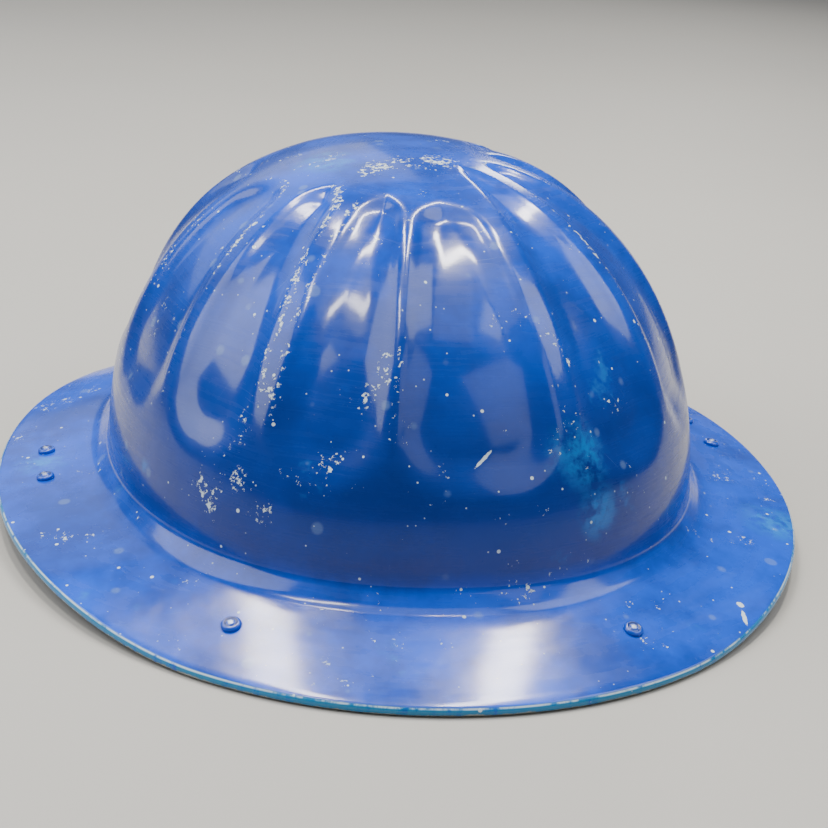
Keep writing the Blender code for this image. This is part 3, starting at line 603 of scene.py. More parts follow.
def shell_section(angle):
    """Rows of (point, edge wear, hem place) from near the top to the end of the turned edge."""
    slope = brim_slope(angle)
    base = FOOT_HEIGHT + fillet_rise(slope)
    wall = dome_outline(angle)
    edge = brim_outline(angle)
    outward = (edge - wall).normalized()
    width = (edge - wall).length
    rows = []
    for step in range(1, DOME_ROWS + 1):
        point, wear = dome_point(angle, pi / 2 * step / DOME_ROWS, base)
        rows.append((point, wear, 0.0))

    def place(out, height, hem=0.0):
        flat = wall + outward * out
        rows.append((Vector((flat.x, flat.y, height)), 0.0, hem))

    arc_steps = 8
    for step in range(1, arc_steps + 1):
        turn = pi / 4 * step / arc_steps
        place(UPPER_FILLET * (1 - cos(turn)), base - UPPER_FILLET * sin(turn))
    out = UPPER_FILLET * (1 - cos(pi / 4)) + FILLET_BAND * cos(pi / 4)
    height = base - UPPER_FILLET * sin(pi / 4) - FILLET_BAND * sin(pi / 4)
    for step in range(arc_steps + 1):
        turn = pi / 4 + (slope - pi / 4) * step / arc_steps
        place(out + LOWER_FILLET * (sin(pi / 4) - sin(turn)),
              height - LOWER_FILLET * (cos(turn) - cos(pi / 4)))
    hem_out = width - HEM_RADIUS
    hem_height = edge_lift(angle) + HEM_RADIUS
    first = (fillet_run(slope), FOOT_HEIGHT)
    last = (hem_out + HEM_RADIUS * sin(slope), hem_height + HEM_RADIUS * cos(slope))
    brim_steps = 18
    for step in range(1, brim_steps + 1):
        part = step / (brim_steps + 1)
        place(first[0] + (last[0] - first[0]) * part, first[1] + (last[1] - first[1]) * part)
    hem_steps = 14
    for step in range(hem_steps + 1):
        share = step / hem_steps
        turn = slope + (pi - slope) * share
        place(hem_out + HEM_RADIUS * sin(turn), hem_height + HEM_RADIUS * cos(turn), share)
    place(hem_out - HEM_RETURN, edge_lift(angle), 1.0)
    return rows


def make_shell(paint, inside):
    sections = [shell_section(2 * pi * column / COLUMNS) for column in range(COLUMNS)]
    rows = len(sections[0])
    top = (Vector((0, DOME_SHIFT, HEIGHT)), 0.0, 0.0)
    points, wear, hems = zip(top, *(row for section in sections for row in section))
    faces = []
    for column in range(COLUMNS):
        here = 1 + column * rows
        after = 1 + (column + 1) % COLUMNS * rows
        faces.append((0, here, after))
        for row in range(rows - 1):
            faces.append((here + row, here + row + 1, after + row + 1, after + row))
    item = add_piece("fine_shell", new_mesh("fine_shell", points, faces, paint, inside,
                                            edge=wear, hem=hems), "hat")
    wall = item.modifiers.new("wall", "SOLIDIFY")
    wall.thickness = SHEET
    wall.offset = -1
    wall.use_even_offset = True
    wall.material_offset = 1
    wall.material_offset_rim = 1
    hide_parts("shell")


# ---------------------------------------------------------------- turned pieces

def turned_mesh(name, profile, finish, segments=40):
    """Closed solid of revolution about Z; the profile runs from the axis back to the axis."""
    points = [(0, 0, profile[0][1])]
    rings = len(profile) - 2
    for radius, height in profile[1:-1]:
        for k in range(segments):
            turn = 2 * pi * k / segments
            points.append((radius * cos(turn), radius * sin(turn), height))
    points.append((0, 0, profile[-1][1]))
    last = len(points) - 1
    top = last - segments
    faces = [face[::-1] for face in tube_faces(1, rings, segments)]
    for k in range(segments):
        after = (k + 1) % segments
        faces.append((0, 1 + after, 1 + k))
        faces.append((last, top + k, top + after))
    return new_mesh(name, points, faces, finish)


def rivet_profile():
    """A low domed head with a pressed ring and a raised middle, its shank, and its set end."""
    domed = ((1.0, 0.25), (0.97, 0.45), (0.90, 0.68), (0.80, 0.84), (0.70, 0.90), (0.62, 0.88),
             (0.56, 0.72), (0.50, 0.66), (0.44, 0.74), (0.37, 0.94), (0.22, 1.0), (0, 1.0))
    return [(0, -RIVET_GRIP - 0.0009), (0.0020, -RIVET_GRIP - 0.0009),
            (0.0025, -RIVET_GRIP - 0.0006), (0.0026, -RIVET_GRIP), (SHANK, -RIVET_GRIP),
            (SHANK, -RIVET_SEAT), (RIVET_HEAD, -RIVET_SEAT),
            *((RIVET_HEAD * out, RIVET_HEAD_HEIGHT * up) for out, up in domed)]


def stud_profile():
    """A hanger stud: set end, neck, and rounded mushroom head."""
    head = ((0.0028, 0), (0.0030, 0.0003), (0.0029, 0.0007), (0.0024, 0.0011),
            (0.0014, 0.00128), (0, 0.0013))
    return [(0, -0.0023), (0.0022, -0.0023), (0.0027, -0.0020), (0.0028, -0.0015),
            (SHANK, -0.0015), (SHANK, STUD_NECK), *((out, STUD_NECK + up) for out, up in head)]


def middle_of(node):
    low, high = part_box(node)
    return (low + high) / 2


def brim_normal(place):
    """Direction away from the brim's upper side near a place on it."""
    angle = atan2(place.x, -place.y)
    for _ in range(6):
        spot = dome_outline(angle).lerp(brim_outline(angle), 0.6)
        angle += atan2(place.x, -place.y) - atan2(spot.x, -spot.y)
    out = (brim_outline(angle) - dome_outline(angle)).normalized()
    slope = brim_slope(angle)
    return Vector((out.x * sin(slope), out.y * sin(slope), cos(slope)))


def make_rivets(finish):
    mesh = turned_mesh("fine_rivet", rivet_profile(), finish)
    for label in ("front_left", "front_right", "rear_left", "rear_right", "side_fore_left",
                  "side_fore_right", "side_aft_left", "side_aft_right"):
        node = "rivet_" + label
        middle = middle_of(node)
        normal = brim_normal(middle)
        head = middle + normal * (RIVET_LENGTH / 2 - RIVET_HEAD_HEIGHT)
        item = add_piece("fine_" + node, mesh, "hat", facing(head, normal))
        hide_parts(node)


def make_studs(finish):
    mesh = turned_mesh("fine_stud", stud_profile(), finish)
    for label in STRAP_DIRECTIONS:
        node = "hanger_stud_" + label
        middle = middle_of(node)
        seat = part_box(node)[1].z - STUD_NECK - STUD_HEAD_HEIGHT
        place = Matrix.Translation((middle.x, middle.y, seat))
        item = add_piece("fine_" + node, mesh, "hat", place)
        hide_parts(node)


# ---------------------------------------------------------------- bands and straps

def find_angle(reached, low, high):
    """Solves reached(angle) = 0 by halving; reached rises from low to high."""
    for _ in range(40):
        middle = (low + high) / 2
        if reached(middle) > 0:
            high = middle
        else:
            low = middle
    return (low + high) / 2


def band_point(angle, offset=0.0):
    """The headband's plan, as in the CAD: a point of it and the outward direction."""
    reach, power = (BAND_FRONT, BAND_POWER) if cos(angle) > 0 else (BAND_HALF_X, 2)
    point = outline(BAND_HALF_X, reach, power, angle)
    out = Vector((signed_power(point.x / BAND_HALF_X, power - 1) / BAND_HALF_X,
                  signed_power(point.y / reach, power - 1) / reach)).normalized()
    return point + Vector((0, BAND_CENTRE_Y)) + out * offset, out


def band_angle(direction):
    """The headband's own angle in a plan direction from the middle of the dome."""
    aim = Vector((sin(direction), -cos(direction)))
    centre = Vector((0, DOME_SHIFT))

    def sideways(angle):
        spot = band_point(angle)[0] - centre
        return aim.x * spot.y - aim.y * spot.x

    return find_angle(sideways, direction - 0.6, direction + 0.6)


def loft(name, rings, along, across, finish):
    """A closed piece through rings of points, with each point's place along and across it."""
    count = len(rings[0])
    points = [point for ring in rings for point in ring]
    faces = [tuple(range(count)), tuple(reversed(range(len(points) - count, len(points))))]
    faces += tube_faces(0, len(rings), count)
    mesh = new_mesh(name, points, faces, finish,
                    along=[value for value in along for _ in range(count)],
                    across=list(across) * len(rings))
    face_outwards(mesh).set_sharp_from_angle(angle=radians(SHARP_FROM))
    return mesh


def travelled(places):
    """Length of the way to each of a row of places."""
    total, result = 0.0, [0.0]
    for before, after in zip(places, places[1:]):
        total += (after - before).length
        result.append(total)
    return result


def band_section(low, high, wall, groove, steps=22):
    """Section of a strip on edge: (out, up) points, with rounded edges and a groove near each."""
    half = wall / 2
    side = []
    for step in range(steps + 1):
        up = low + half + (high - low - wall) * step / steps
        near = min(up - low, high - up)
        side.append((half - groove * exp(-((near - SEAM) / GROOVE_SPREAD) ** 2), up))
    turns = (pi / 4, pi / 2, 3 * pi / 4)
    top = [(half * cos(turn), high - half + half * sin(turn)) for turn in turns]
    bottom = [(-half * cos(turn), low + half - half * sin(turn)) for turn in turns]
    back = [(-out, up) for out, up in reversed(side)]
    return side + top + back + bottom


def band_piece(name, finish, first, last, section, offset=0.0, *, count, waver, fade_ends=0):
    """A strip on edge round the head, from one angle to another; its section wavers like leather.

    Its ends grow thinner over fade_ends of its count of steps."""
    rings, places = [], []
    for step in range(count + 1):
        angle = radians(first + (last - first) * step / count)
        point, out = band_point(angle, offset)
        places.append(Vector((point.x, point.y, 0)))
        end = min(step, count - step)
        thin = min(1.0, 0.45 + end / fade_ends) if fade_ends else 1.0
        ring = []
        for reach, up in section:
            shake = noise.noise(Vector((point.x, point.y, up)) * 38) * waver
            spot = point + out * (reach * thin + shake)
            ring.append(Vector((spot.x, spot.y, up)))
        rings.append(ring)
    return loft(name, rings, travelled(places), [up for _, up in section], finish)


def stitch_row(name, finish, places, outs):
    """A row of raised thread stitches that follows a line of places; outs face away from it."""
    way = travelled(places)
    points, faces = [], []

    def at(distance):
        distance = min(max(distance, 0.0), way[-1])
        row = min(bisect_right(way, distance) - 1, len(way) - 2)
        part = (distance - way[row]) / (way[row + 1] - way[row])
        return places[row].lerp(places[row + 1], part), outs[row].lerp(outs[row + 1], part)

    begin = 0.0
    while begin + STITCH < way[-1]:
        base = len(points)
        for step in range(STITCH_RINGS):
            part = step / (STITCH_RINGS - 1)
            here = begin + STITCH * part
            spot, out = at(here)
            ahead = at(here + 0.0002)[0] - at(here - 0.0002)[0]
            side = ahead.cross(out).normalized()
            arch = sin(pi * part)
            centre = spot + out * THREAD * (arch * 1.1 - 0.3)
            thick = THREAD * (0.45 + 0.55 * arch ** 0.5)
            for corner in range(STITCH_SIDES):
                turn = 2 * pi * corner / STITCH_SIDES
                points.append(centre + side * thick * cos(turn) + out * thick * sin(turn))
        faces.append(tuple(range(base, base + STITCH_SIDES)))
        faces += tube_faces(base, STITCH_RINGS, STITCH_SIDES)
        faces.append(tuple(reversed(range(len(points) - STITCH_SIDES, len(points)))))
        begin += STITCH + STITCH_SPACE
    return new_mesh(name, points, faces, finish)


def band_stitches(name, reach, offset, height, finish):
    """Stitches as far as reach to both sides of the front, on the side of the offset."""
    places, outs = [], []
    sign = 1 if offset > 0 else -1
    steps = 160
    for step in range(steps + 1):
        point, out = band_point(radians(-reach + 2 * reach * step / steps), offset)
        places.append(Vector((point.x, point.y, height)))
        outs.append(Vector((out.x, out.y, 0)) * sign)
    item = add_piece(name, stitch_row(name, finish, places, outs), "hat")


def make_bands(leather, soft_leather, thread):
    reach = 180 - BAND_END
    section = band_section(BAND_LOW, BAND_HIGH, BAND_WALL, groove=0.00022)
    mesh = band_piece("fine_headband", leather, -reach, reach, section, count=260, waver=0.00018)
    headband = add_piece("fine_headband", mesh, "hat")
    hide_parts("headband")
    for label, up in (("low", BAND_LOW + SEAM), ("high", BAND_HIGH - SEAM)):
        band_stitches("headband_stitches_" + label, reach - 2, BAND_WALL / 2 - THREAD_SINK, up,
                      thread)

    offset = -(BAND_WALL / 2 + GAP + SWEAT_WALL / 2)
    middle = (SWEAT_LOW + SWEAT_HIGH) / 2
    half = (SWEAT_HIGH - SWEAT_LOW) / 2
    padded = [(out - SWEAT_CROWN * (1 - ((up - middle) / half) ** 2) if out < 0 else out, up)
              for out, up in band_section(SWEAT_LOW, SWEAT_HIGH, SWEAT_WALL, groove=0.00050)]
    mesh = band_piece("fine_sweatband", soft_leather, -SWEAT_REACH, SWEAT_REACH, padded, offset,
                      count=220, waver=0.00045, fade_ends=9)
    sweatband = add_piece("fine_sweatband", mesh, "hat")
    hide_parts("sweatband")
    for label, up in (("low", SWEAT_LOW + SEAM), ("high", SWEAT_HIGH - SEAM)):
        band_stitches("sweatband_stitches_" + label, SWEAT_REACH - 2,
                      offset - SWEAT_WALL / 2 - THREAD_SINK, up, thread)


def make_nape_strap(leather, metal):
    offset = BAND_WALL / 2 + GAP + NAPE_WALL / 2
    section = band_section(NAPE_LOW, NAPE_HIGH, NAPE_WALL, groove=0.00018, steps=14)
    mesh = band_piece("fine_nape_strap", leather, 180 - NAPE_REACH, 180 + NAPE_REACH, section,
                      offset, count=120, waver=0.00010)
    strap = add_piece("fine_nape_strap", mesh, "nape_strap")
    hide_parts("nape_strap")
    ring = turned_mesh("fine_eyelet", [(0, -0.0001), (0.0011, -0.0001), (0.0012, 0.0001),
                                       (0.0013, 0.00035), (0.0017, 0.00050), (0.0021, 0.00035),
                                       (0.0023, 0.0), (0.0012, -0.0003), (0, -0.0003)], metal, 28)
    for index in range(1, EYELETS + 1):
        angle = radians(180 + (index - (EYELETS + 1) / 2) * EYELET_STEP)
        point, out = band_point(angle, offset + NAPE_WALL / 2)
        place = Vector((point.x, point.y, (NAPE_LOW + NAPE_HIGH) / 2))
        item = add_piece(f"nape_eyelet_{index}", ring, "nape_strap",
                         facing(place, Vector((out.x, out.y, 0))))


def strap_half(direction, crown, steps=44):
    """Half of a crown strap's middle line, from the headband up, with its width's direction."""
    foot, out = band_point(band_angle(direction), BAND_WALL / 2 + GAP + WEB / 2)
    centre = Vector((0, DOME_SHIFT))
    band_across = Vector((-out.y, out.x, 0))
    aim = Vector((sin(direction), -cos(direction), 0))
    crown_across = Vector((-aim.y, aim.x, 0))
    spring = BAND_HIGH + 0.001
    straight = 10
    entries = []
    for step in range(straight):
        up = STRAP_FOOT + (spring - STRAP_FOOT) * step / straight
        entries.append((Vector((foot.x, foot.y, up)), band_across))
    for step in range(steps + 1):
        turn = pi / 2 * step / steps
        flat = centre + (foot - centre) * cos(turn)
        across = band_across.lerp(crown_across, smooth(step / (steps * 0.36))).normalized()
        entries.append((Vector((flat.x, flat.y, spring + (crown - spring) * sin(turn))), across))
    return entries


def web_section(steps=18):
    """Section of the webbing: (across, up) points, with full rounded edges."""
    half_width, half = WEB_WIDTH / 2, WEB / 2
    face = []
    for step in range(steps + 1):
        across = -half_width + half + (WEB_WIDTH - WEB) * step / steps
        rim = exp(-((half_width - abs(across)) / 0.0012) ** 2)
        face.append((across, half * (0.84 + 0.16 * rim)))
    edge = [(half_width - half + half * cos(turn), half * sin(turn))
            for turn in (pi / 4, 0, -pi / 4)]
    under = [(across, -up) for across, up in reversed(face)]
    other = [(-across, -up) for across, up in edge]
    return face + edge + under + other


def cradle_strap(name, entries, finish):
    """A strap along (place, width's direction) entries, its way, and where its upper side faces."""
    section = web_section()
    places = [point for point, _ in entries]
    rings, faces_up = [], []
    for index, (point, across) in enumerate(entries):
        ahead = places[min(index + 1, len(places) - 1)] - places[max(index - 1, 0)]
        face = across.cross(ahead.normalized()).normalized()
        faces_up.append(face)
        ring = []
        for side, lift in section:
            spot = point + across * side
            ring.append(spot + face * (lift + noise.noise(spot * 55) * WEB_WAVER))
        rings.append(ring)
    way = travelled(places)
    return loft(name, rings, way, [side for side, _ in section], finish), way, faces_up


def make_crown_straps(webbing, thread):
    for order, (label, start, end) in enumerate(
            (("diagonal_b", "front_right", "rear_left"), ("diagonal_a", "front_left", "rear_right"),
             ("side", "side_left", "side_right"))):
        crown = CROWN_HEIGHT - CROWN_STEP * order
        first = strap_half(radians(STRAP_DIRECTIONS[start]), crown)
        second = strap_half(radians(STRAP_DIRECTIONS[end]), crown)
        entries = first + [(point, -across) for point, across in reversed(second[:-1])]
        name = "crown_strap_" + label
        mesh, way, faces_up = cradle_strap("fine_" + name, entries, webbing)
        strap = add_piece("fine_" + name, mesh, "hat")
        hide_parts(name)
        last_rows = [len(entries) - 1 - row for row in reversed(STITCHED_ROWS)]
        for key, rows in (("start", STITCHED_ROWS), ("end", last_rows)):
            for row in rows:
                point, across = entries[row]
                face = faces_up[row]
                line = [point + across * WEB_WIDTH * (part / 20 - 0.5) * 0.82 + face * WEB * 0.42
                        for part in range(21)]
                row_name = f"{name}_stitches_{key}_{row}"
                item = add_piece(row_name, stitch_row(row_name, thread, line, [face] * 21), "hat")


def make_crown_patch(leather, thread):
    """A round leather patch, bent over the crossing of the straps, with a sewn rim."""
    base = CROWN_HEIGHT + WEB / 2 + GAP
    reach = BAND_FRONT - BAND_CENTRE_Y
    rise = CROWN_HEIGHT - BAND_HIGH
    seam = PATCH_RADIUS - SEAM

    def fall(distance):
        return rise * (1 - sqrt(1 - (distance / reach) ** 2)) * PATCH_FOLLOW

    steps = 20
    section = [(PATCH_RADIUS * step / steps, PATCH_WALL) for step in range(1, steps)]
    section += [(PATCH_RADIUS - 0.0004, PATCH_WALL * 0.9), (PATCH_RADIUS, PATCH_WALL * 0.55),
                (PATCH_RADIUS - 0.0003, PATCH_WALL * 0.1)]
    section += [(PATCH_RADIUS * step / steps, 0.0) for step in range(steps - 1, 0, -1)]
    segments = 96
    points = [(0, DOME_SHIFT, base + PATCH_WALL)]
    for radius, lift in section:
        upper = lift > PATCH_WALL * 0.67
        dent = PATCH_GROOVE * exp(-((radius - seam) / 0.0007) ** 2) if upper else 0.0
        for k in range(segments):
            turn = 2 * pi * k / segments
            x, y = radius * sin(turn), DOME_SHIFT - radius * cos(turn)
            wave = noise.noise(Vector((x, y, 0)) * 120) * 0.00012 if upper else 0.0
            points.append((x, y, base - fall(radius) + lift - dent + wave))
    points.append((0, DOME_SHIFT, base))
    last = len(points) - 1
    bottom = last - segments
    faces = tube_faces(1, len(section), segments)
    for k in range(segments):
        after = (k + 1) % segments
        faces.append((0, 1 + k, 1 + after))
        faces.append((last, bottom + after, bottom + k))
    mesh = new_mesh("fine_crown_patch", points, faces, leather)
    patch = add_piece("fine_crown_patch", mesh, "hat")
    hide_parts("crown_patch")
    turns = [2 * pi * k / 120 for k in range(121)]
    for label, lift, sign in (("top", PATCH_WALL - PATCH_GROOVE, 1), ("under", 0.0, -1)):
        places = [Vector((seam * sin(turn), DOME_SHIFT - seam * cos(turn),
                          base - fall(seam) + lift)) for turn in turns]
        name = "crown_patch_stitches_" + label
        outs = [Vector((0, 0, sign))] * len(places)
        item = add_piece(name, stitch_row(name, thread, places, outs), "hat")


# ---------------------------------------------------------------- wire pieces

def wire_ring(name, places, radius, finish, sides=12):
    """A closed wire through a ring of places."""
    points = []
    count = len(places)
    plane = (places[1] - places[0]).cross(places[count // 2] - places[0]).normalized()
    for index, place in enumerate(places):
        ahead = (places[(index + 1) % count] - places[index - 1]).normalized()
        side = ahead.cross(plane).normalized()
        for corner in range(sides):
            turn = 2 * pi * corner / sides
            points.append(place + side * radius * cos(turn) + plane * radius * sin(turn))
    faces = [tuple(index % len(points) for index in face)
             for face in tube_faces(0, count + 1, sides)]
    return face_outwards(new_mesh(name, points, faces, finish))


def make_chin_loops(metal):
    """Rounded wire loops that hang from the side brackets."""
    for side_name in ("left", "right"):
        node = "chin_loop_" + side_name
        low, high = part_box(node)
        x = (low.x + high.x) / 2
        corners = ((high.y, high.z, LOOP_TOP_RADIUS, 0), (high.y, low.z, LOOP_LOW_RADIUS, -90),
                   (low.y, low.z, LOOP_LOW_RADIUS, 180), (low.y, high.z, LOOP_TOP_RADIUS, 90))
        places = []
        for y, z, radius, start in corners:
            middle_y = y - radius if y == high.y else y + radius
            middle_z = z - radius if z == high.z else z + radius
            bend = radius - LOOP_WIRE
            for step in range(9):
                turn = radians(start + 90 - 90 * step / 8)
                places.append(Vector((x, middle_y + bend * cos(turn),
                                      middle_z + bend * sin(turn))))
        item = add_piece("fine_" + node, wire_ring("fine_" + node, places, LOOP_WIRE, metal), node)
        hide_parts(node)


# ---------------------------------------------------------------- rivet and suspension finishes

def rivet_metal():
    """The rivets' blue paint, worn to pale metal on the middle of each head and under the brim, with
    painted shade in the pressed ring.
    """
    look = Finish("rivet_metal")
    away = look.distance(look.place, (0, 0, RIVET_HEAD_HEIGHT))
    ragged = look.noise(0.0012, 3.0, 0.6)
    worn = look.span(away + ragged * 0.0022, 0.0016, 0.0021, 1.0, 0.0)
    set_end = look.span(look.height(), -0.0016, -0.0012, 1.0, 0.0)
    bare = look.most(look.most(worn, flecks(look, 0.0016, 0.0003, 0.7)) * 0.85, set_end)
    # painted shade: the pressed ring on each head is painted a near-black blue
    groove = look.span(away, 0.0012, 0.0017) * look.span(away, 0.0019, 0.0023, 1.0, 0.0)
    tone = look.mix(look.noise(0.004), BLUE_DEEP, BLUE_BODY)
    tone = look.mix(groove * 0.75, tone, (0.002, 0.012, 0.050))
    tone = look.mix(bare, tone, (0.50, 0.56, 0.62))
    return look.set(Base_Color=tone, Roughness=bare * 0.18 + 0.26, Metallic=bare * 0.6,
                    Normal=look.bump(ragged, 0.00006), Coat_Weight=0.3)


def plated_steel():
    """Dull zinc plate with a rolled grain, a faint spangle and spots of rust."""
    look = Finish("plated_steel")
    grain = look.noise(1.0, 3.0, 0.6, look.stretched((1500, 140, 1500)))
    cloud = look.noise(0.008, 4.0, 0.65)
    spangle, tint = look.cells(0.0022)
    tone = look.mix(look.span(cloud, 0.3, 0.7), (0.40, 0.39, 0.36), (0.62, 0.61, 0.58))
    tone = look.mix(look.channel(tint, 1) * 0.22, tone, (0.70, 0.71, 0.72))
    rust = look.span(look.noise(0.0040, 5.0, 0.75, look.shifted(0.7, 0.1, 0.3)), 0.62, 0.70)
    tone = look.mix(rust * 0.7, tone, (0.16, 0.075, 0.030))
    relief = look.bump(grain * 0.8 + spangle * 0.25, 0.000025)
    return look.set(Base_Color=tone, Metallic=1.0 - rust * 0.9,
                    Roughness=look.span(cloud, 0.3, 0.7, 0.28, 0.44) + rust * 0.35,
                    Normal=look.bump(rust, 0.00005, onto=relief))


def pricked_holes(look, pitch=0.0042):
    """1 inside each of staggered rows of pricked holes."""
    row = look.attribute("across") / pitch
    stagger = look.math("MODULO", look.math("FLOOR", row), 2.0) * 0.5
    first = look.math("FRACT", row) - 0.5
    second = look.math("FRACT", look.attribute("along") / pitch + stagger) - 0.5
    away = look.math("SQRT", first * first + second * second)
    return look.span(away, 0.10, 0.15, 1.0, 0.0)


def leather_look(name, dark, light, crease, grain_size, rough_range, holes=False):
    """Worn leather: grain, creases, rubbed pale places, and rows of pricked holes if asked, painted
    near black as painted shade.
    """
    look = Finish(name)
    pores, _ = look.cells(grain_size)
    fine, _ = look.cells(grain_size * 0.42)
    cloud = look.noise(0.018, 4.0, 0.6)
    folds = look.noise(0.0045, 4.0, 0.7, look.stretched((1, 1, 2.6)), 1.2)
    rubbed = look.span(look.noise(0.009, 5.0, 0.7, look.shifted(0.4, 0.8, 0.2)), 0.58, 0.70)
    tone = look.mix(look.span(cloud, 0.32, 0.68), dark, light)
    tone = look.mix(look.span(folds, 0.52, 0.66) * 0.45, tone, crease)
    tone = look.mix(rubbed * 0.5, tone, tuple(min(1.0, part * 1.9) for part in light))
    relief = look.bump(pores * 0.7 + fine * 0.3, grain_size * 0.25)
    relief = look.bump(folds, 0.00014, onto=relief)
    if holes:
        shaded_hole = pricked_holes(look)
        # painted shade: each hole gets a near-black copy of the leather's colour
        tone = look.mix(shaded_hole, tone, tuple(part * 0.08 for part in dark))
        relief = look.bump(1.0 - shaded_hole, 0.00030, onto=relief)
    rough = look.span(cloud, 0.3, 0.7, *rough_range) - rubbed * 0.10
    return look.set(Base_Color=tone, Roughness=rough, Normal=relief, Specular_IOR_Level=0.38)


TWILL_PITCH = 0.00085
WARP_PITCH = 0.00062


def webbing_look():
    """Natural cotton webbing: a twill of raised threads, painted lighter on the threads and darker
    between them as painted light and shade, two marked selvedges, and soiling.
    """
    look = Finish("webbing")
    across = look.attribute("across")
    side = look.math("ABSOLUTE", across)
    slant = look.attribute("along") / TWILL_PITCH + side / TWILL_PITCH
    twill = look.math("SINE", slant * (2 * pi))
    warp = look.math("SINE", across * (2 * pi / WARP_PITCH))
    weave_and_shade = twill * 0.6 + warp * 0.4
    # painted light and shade: the tone follows the weave's relief, light on the raised threads and
    # dark between them
    tone = look.mix(look.span(weave_and_shade, -0.9, 0.7), (0.27, 0.235, 0.165), (0.60, 0.55, 0.44))
    soil = look.span(look.noise(0.014, 5.0, 0.65), 0.42, 0.66)
    tone = look.mix(soil * 0.45, tone, (0.23, 0.18, 0.115))
    stripe = look.span(side, 0.0062, 0.0064) * look.span(side, 0.0074, 0.0076, 1.0, 0.0)
    tone = look.mix(stripe * 0.7, tone, (0.10, 0.13, 0.17))
    relief = look.bump(look.noise(0.0005, 3.0, 0.7), 0.00008, onto=look.bump(weave_and_shade, 0.00014))
    return look.set(Base_Color=tone, Roughness=0.88, Normal=relief, Specular_IOR_Level=0.2,
                    Sheen_Weight=0.25)


def thread_look():
    look = Finish("thread")
    twist = look.noise(0.0006, 3.0, 0.7)
    tone = look.mix(twist, (0.40, 0.34, 0.23), (0.70, 0.64, 0.50))
    return look.set(Base_Color=tone, Roughness=0.8, Normal=look.bump(twist, 0.00008))


def key_plastic():
    """Moulded black plastic: fine spark texture, scuffs and dust."""
    look = Finish("key_plastic")
    spark = look.noise(0.0007, 3.0, 0.7)
    scuff = look.span(look.noise(0.0060, 5.0, 0.75, look.stretched((1, 3, 1))), 0.56, 0.68)
    tone = look.mix(look.noise(0.010), (0.020, 0.020, 0.022), (0.034, 0.034, 0.036))
    tone = look.mix(scuff * 0.6, tone, (0.15, 0.15, 0.145))
    return look.set(Base_Color=tone, Roughness=scuff * 0.22 + 0.42,
                    Normal=look.bump(spark, 0.00005))


def refinish(finish, *starts):
    """Gives the CAD nodes whose names start so a better material."""
    for name, item in NODES.items():
        if name.startswith(starts):
            for place in item.material_slots:
                place.material = finish


# ---------------------------------------------------------------- camera, floor and light

def add_camera():
    azimuth, elevation, roll = (radians(value) for value in
                                (CAMERA_AZIMUTH, CAMERA_ELEVATION, CAMERA_ROLL))
    place = CAMERA_DISTANCE * Vector((sin(azimuth) * cos(elevation),
                                      -cos(azimuth) * cos(elevation), sin(elevation)))
    target = CAMERA_SIDE * Vector((cos(azimuth), sin(azimuth), 0)) + Vector((0, 0, CAMERA_HEIGHT))
    forward = (target - place).normalized()
    right = forward.cross(Vector((0, 0, 1))).normalized()
    up = right.cross(forward)
    tilted = right * cos(roll) + up * sin(roll)
    upward = up * cos(roll) - right * sin(roll)
    data = bpy.data.cameras.new("camera")
    data.lens = CAMERA_LENS
    data.sensor_width = 36
    data.clip_start = 0.01
    item = bpy.data.objects.new("camera", data)
    turn = Matrix((tilted, upward, -forward)).transposed()
    item.matrix_world = Matrix.Translation(place) @ turn.to_4x4()
    SCENE.collection.objects.link(item)
    SCENE.camera = item


def add_floor():
    mesh = bpy.data.meshes.new("floor")
    half = 3.0
    mesh.from_pydata([(-half, -half, 0), (half, -half, 0), (half, half, 0), (-half, half, 0)],
                     [], [(0, 1, 2, 3)])
    look = Finish("floor")
    tone = look.mix(look.noise(0.4, 3.0, 0.5), (0.37, 0.36, 0.34), (0.41, 0.40, 0.38))
    mesh.materials.append(look.set(Base_Color=tone, Roughness=0.6))
    item = bpy.data.objects.new("floor", mesh)
    SCENE.collection.objects.link(item)


def add_area(name, azimuth, elevation, distance, size, power, tint=(1, 1, 1)):
    """A soft area light aimed at the hat, at a direction seen from the hat."""
    azimuth, elevation = radians(azimuth), radians(elevation)
    data = bpy.data.lights.new(name, "AREA")
    data.shape = "RECTANGLE"
    data.size, data.size_y = size
    data.energy = power
    data.color = tint
    item = bpy.data.objects.new(name, data)
    back = Vector((sin(azimuth) * cos(elevation), -cos(azimuth) * cos(elevation), sin(elevation)))
    item.location = back * distance + Vector((0, 0, 0.05))
    item.rotation_mode = "QUATERNION"
    item.rotation_quaternion = back.to_track_quat("Z", "Y")
    SCENE.collection.objects.link(item)


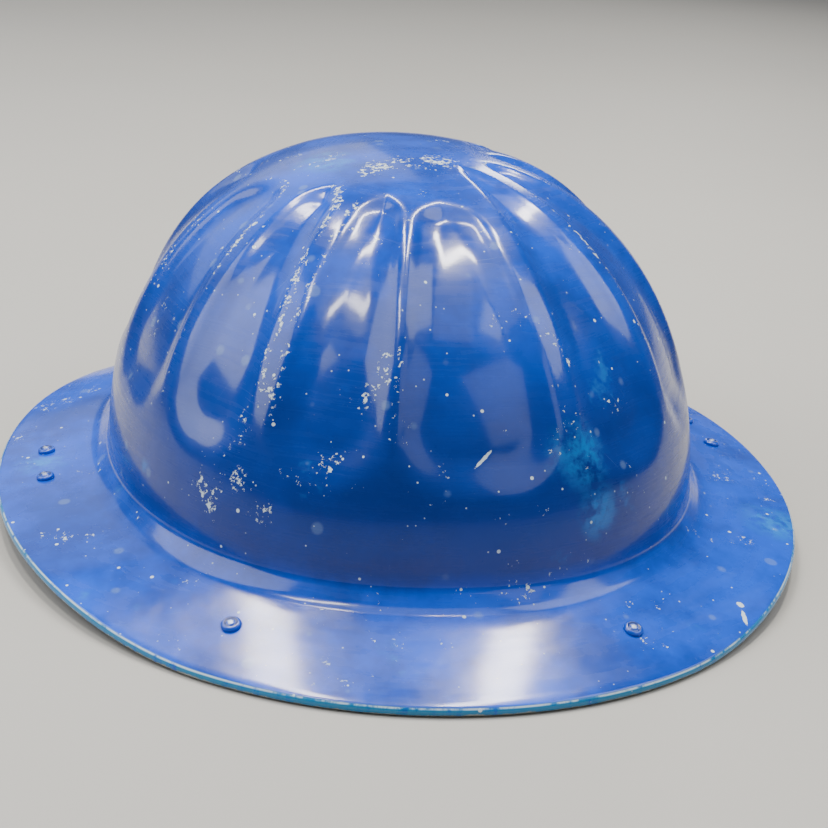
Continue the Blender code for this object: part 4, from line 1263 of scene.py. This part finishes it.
def add_light():
    world = bpy.data.worlds.new("studio")
    world.use_nodes = True
    world.node_tree.nodes["Background"].inputs["Color"].default_value = (0.80, 0.86, 1.0, 1)
    world.node_tree.nodes["Background"].inputs["Strength"].default_value = 0.15
    SCENE.world = world
    add_area("rear", -160, 26, 1.9, (1.7, 0.9), 4.5, (0.88, 0.94, 1.0))
    add_area("overhead", 0, 86, 1.7, (1.1, 1.1), 6.5)
    add_area("lamp_left", -155, 66, 1.5, (0.10, 0.60), 14, (1.0, 0.95, 0.85))
    add_area("lamp_right", 142, 66, 1.5, (0.09, 0.60), 16, (1.0, 0.95, 0.85))
    add_area("rear_right", 160, 20, 1.9, (0.25, 0.30), 3, (1.0, 0.98, 0.92))
    add_area("side_left", -91, 38, 1.4, (1.20, 0.95), 17, (0.95, 0.97, 1.0))
    add_area("side_right", 84, 52, 1.4, (0.7, 0.8), 9, (0.95, 0.98, 1.0))
    add_area("front", 38, 38, 1.5, (0.60, 0.75), 2.2, (1.0, 0.98, 0.94))
    add_area("lamp_front", -65, 71, 1.5, (0.50, 0.12), 9, (1.0, 0.96, 0.88))


# ---------------------------------------------------------------- making

add_camera()
add_floor()
add_light()
make_shell(blue_paint(), inner_metal())
steel = plated_steel()
cotton_thread = thread_look()
strap_leather = leather_look("band_leather", (0.105, 0.048, 0.020), (0.215, 0.108, 0.047),
                             (0.050, 0.024, 0.012), 0.0011, (0.42, 0.60))
pricked_leather = leather_look("sweat_leather", (0.240, 0.128, 0.060), (0.360, 0.205, 0.105),
                               (0.130, 0.070, 0.034), 0.0009, (0.48, 0.64), holes=True)
patch_leather = leather_look("patch_leather", (0.215, 0.112, 0.052), (0.330, 0.188, 0.094),
                             (0.120, 0.062, 0.030), 0.0010, (0.46, 0.62))
make_rivets(rivet_metal())
make_studs(steel)
make_bands(strap_leather, pricked_leather, cotton_thread)
make_nape_strap(strap_leather, steel)
make_crown_straps(webbing_look(), cotton_thread)
make_crown_patch(patch_leather, cotton_thread)
make_chin_loops(steel)
refinish(steel, "hanger_strip", "side_bracket", "nape_buckle")
refinish(key_plastic(), "strap_key")
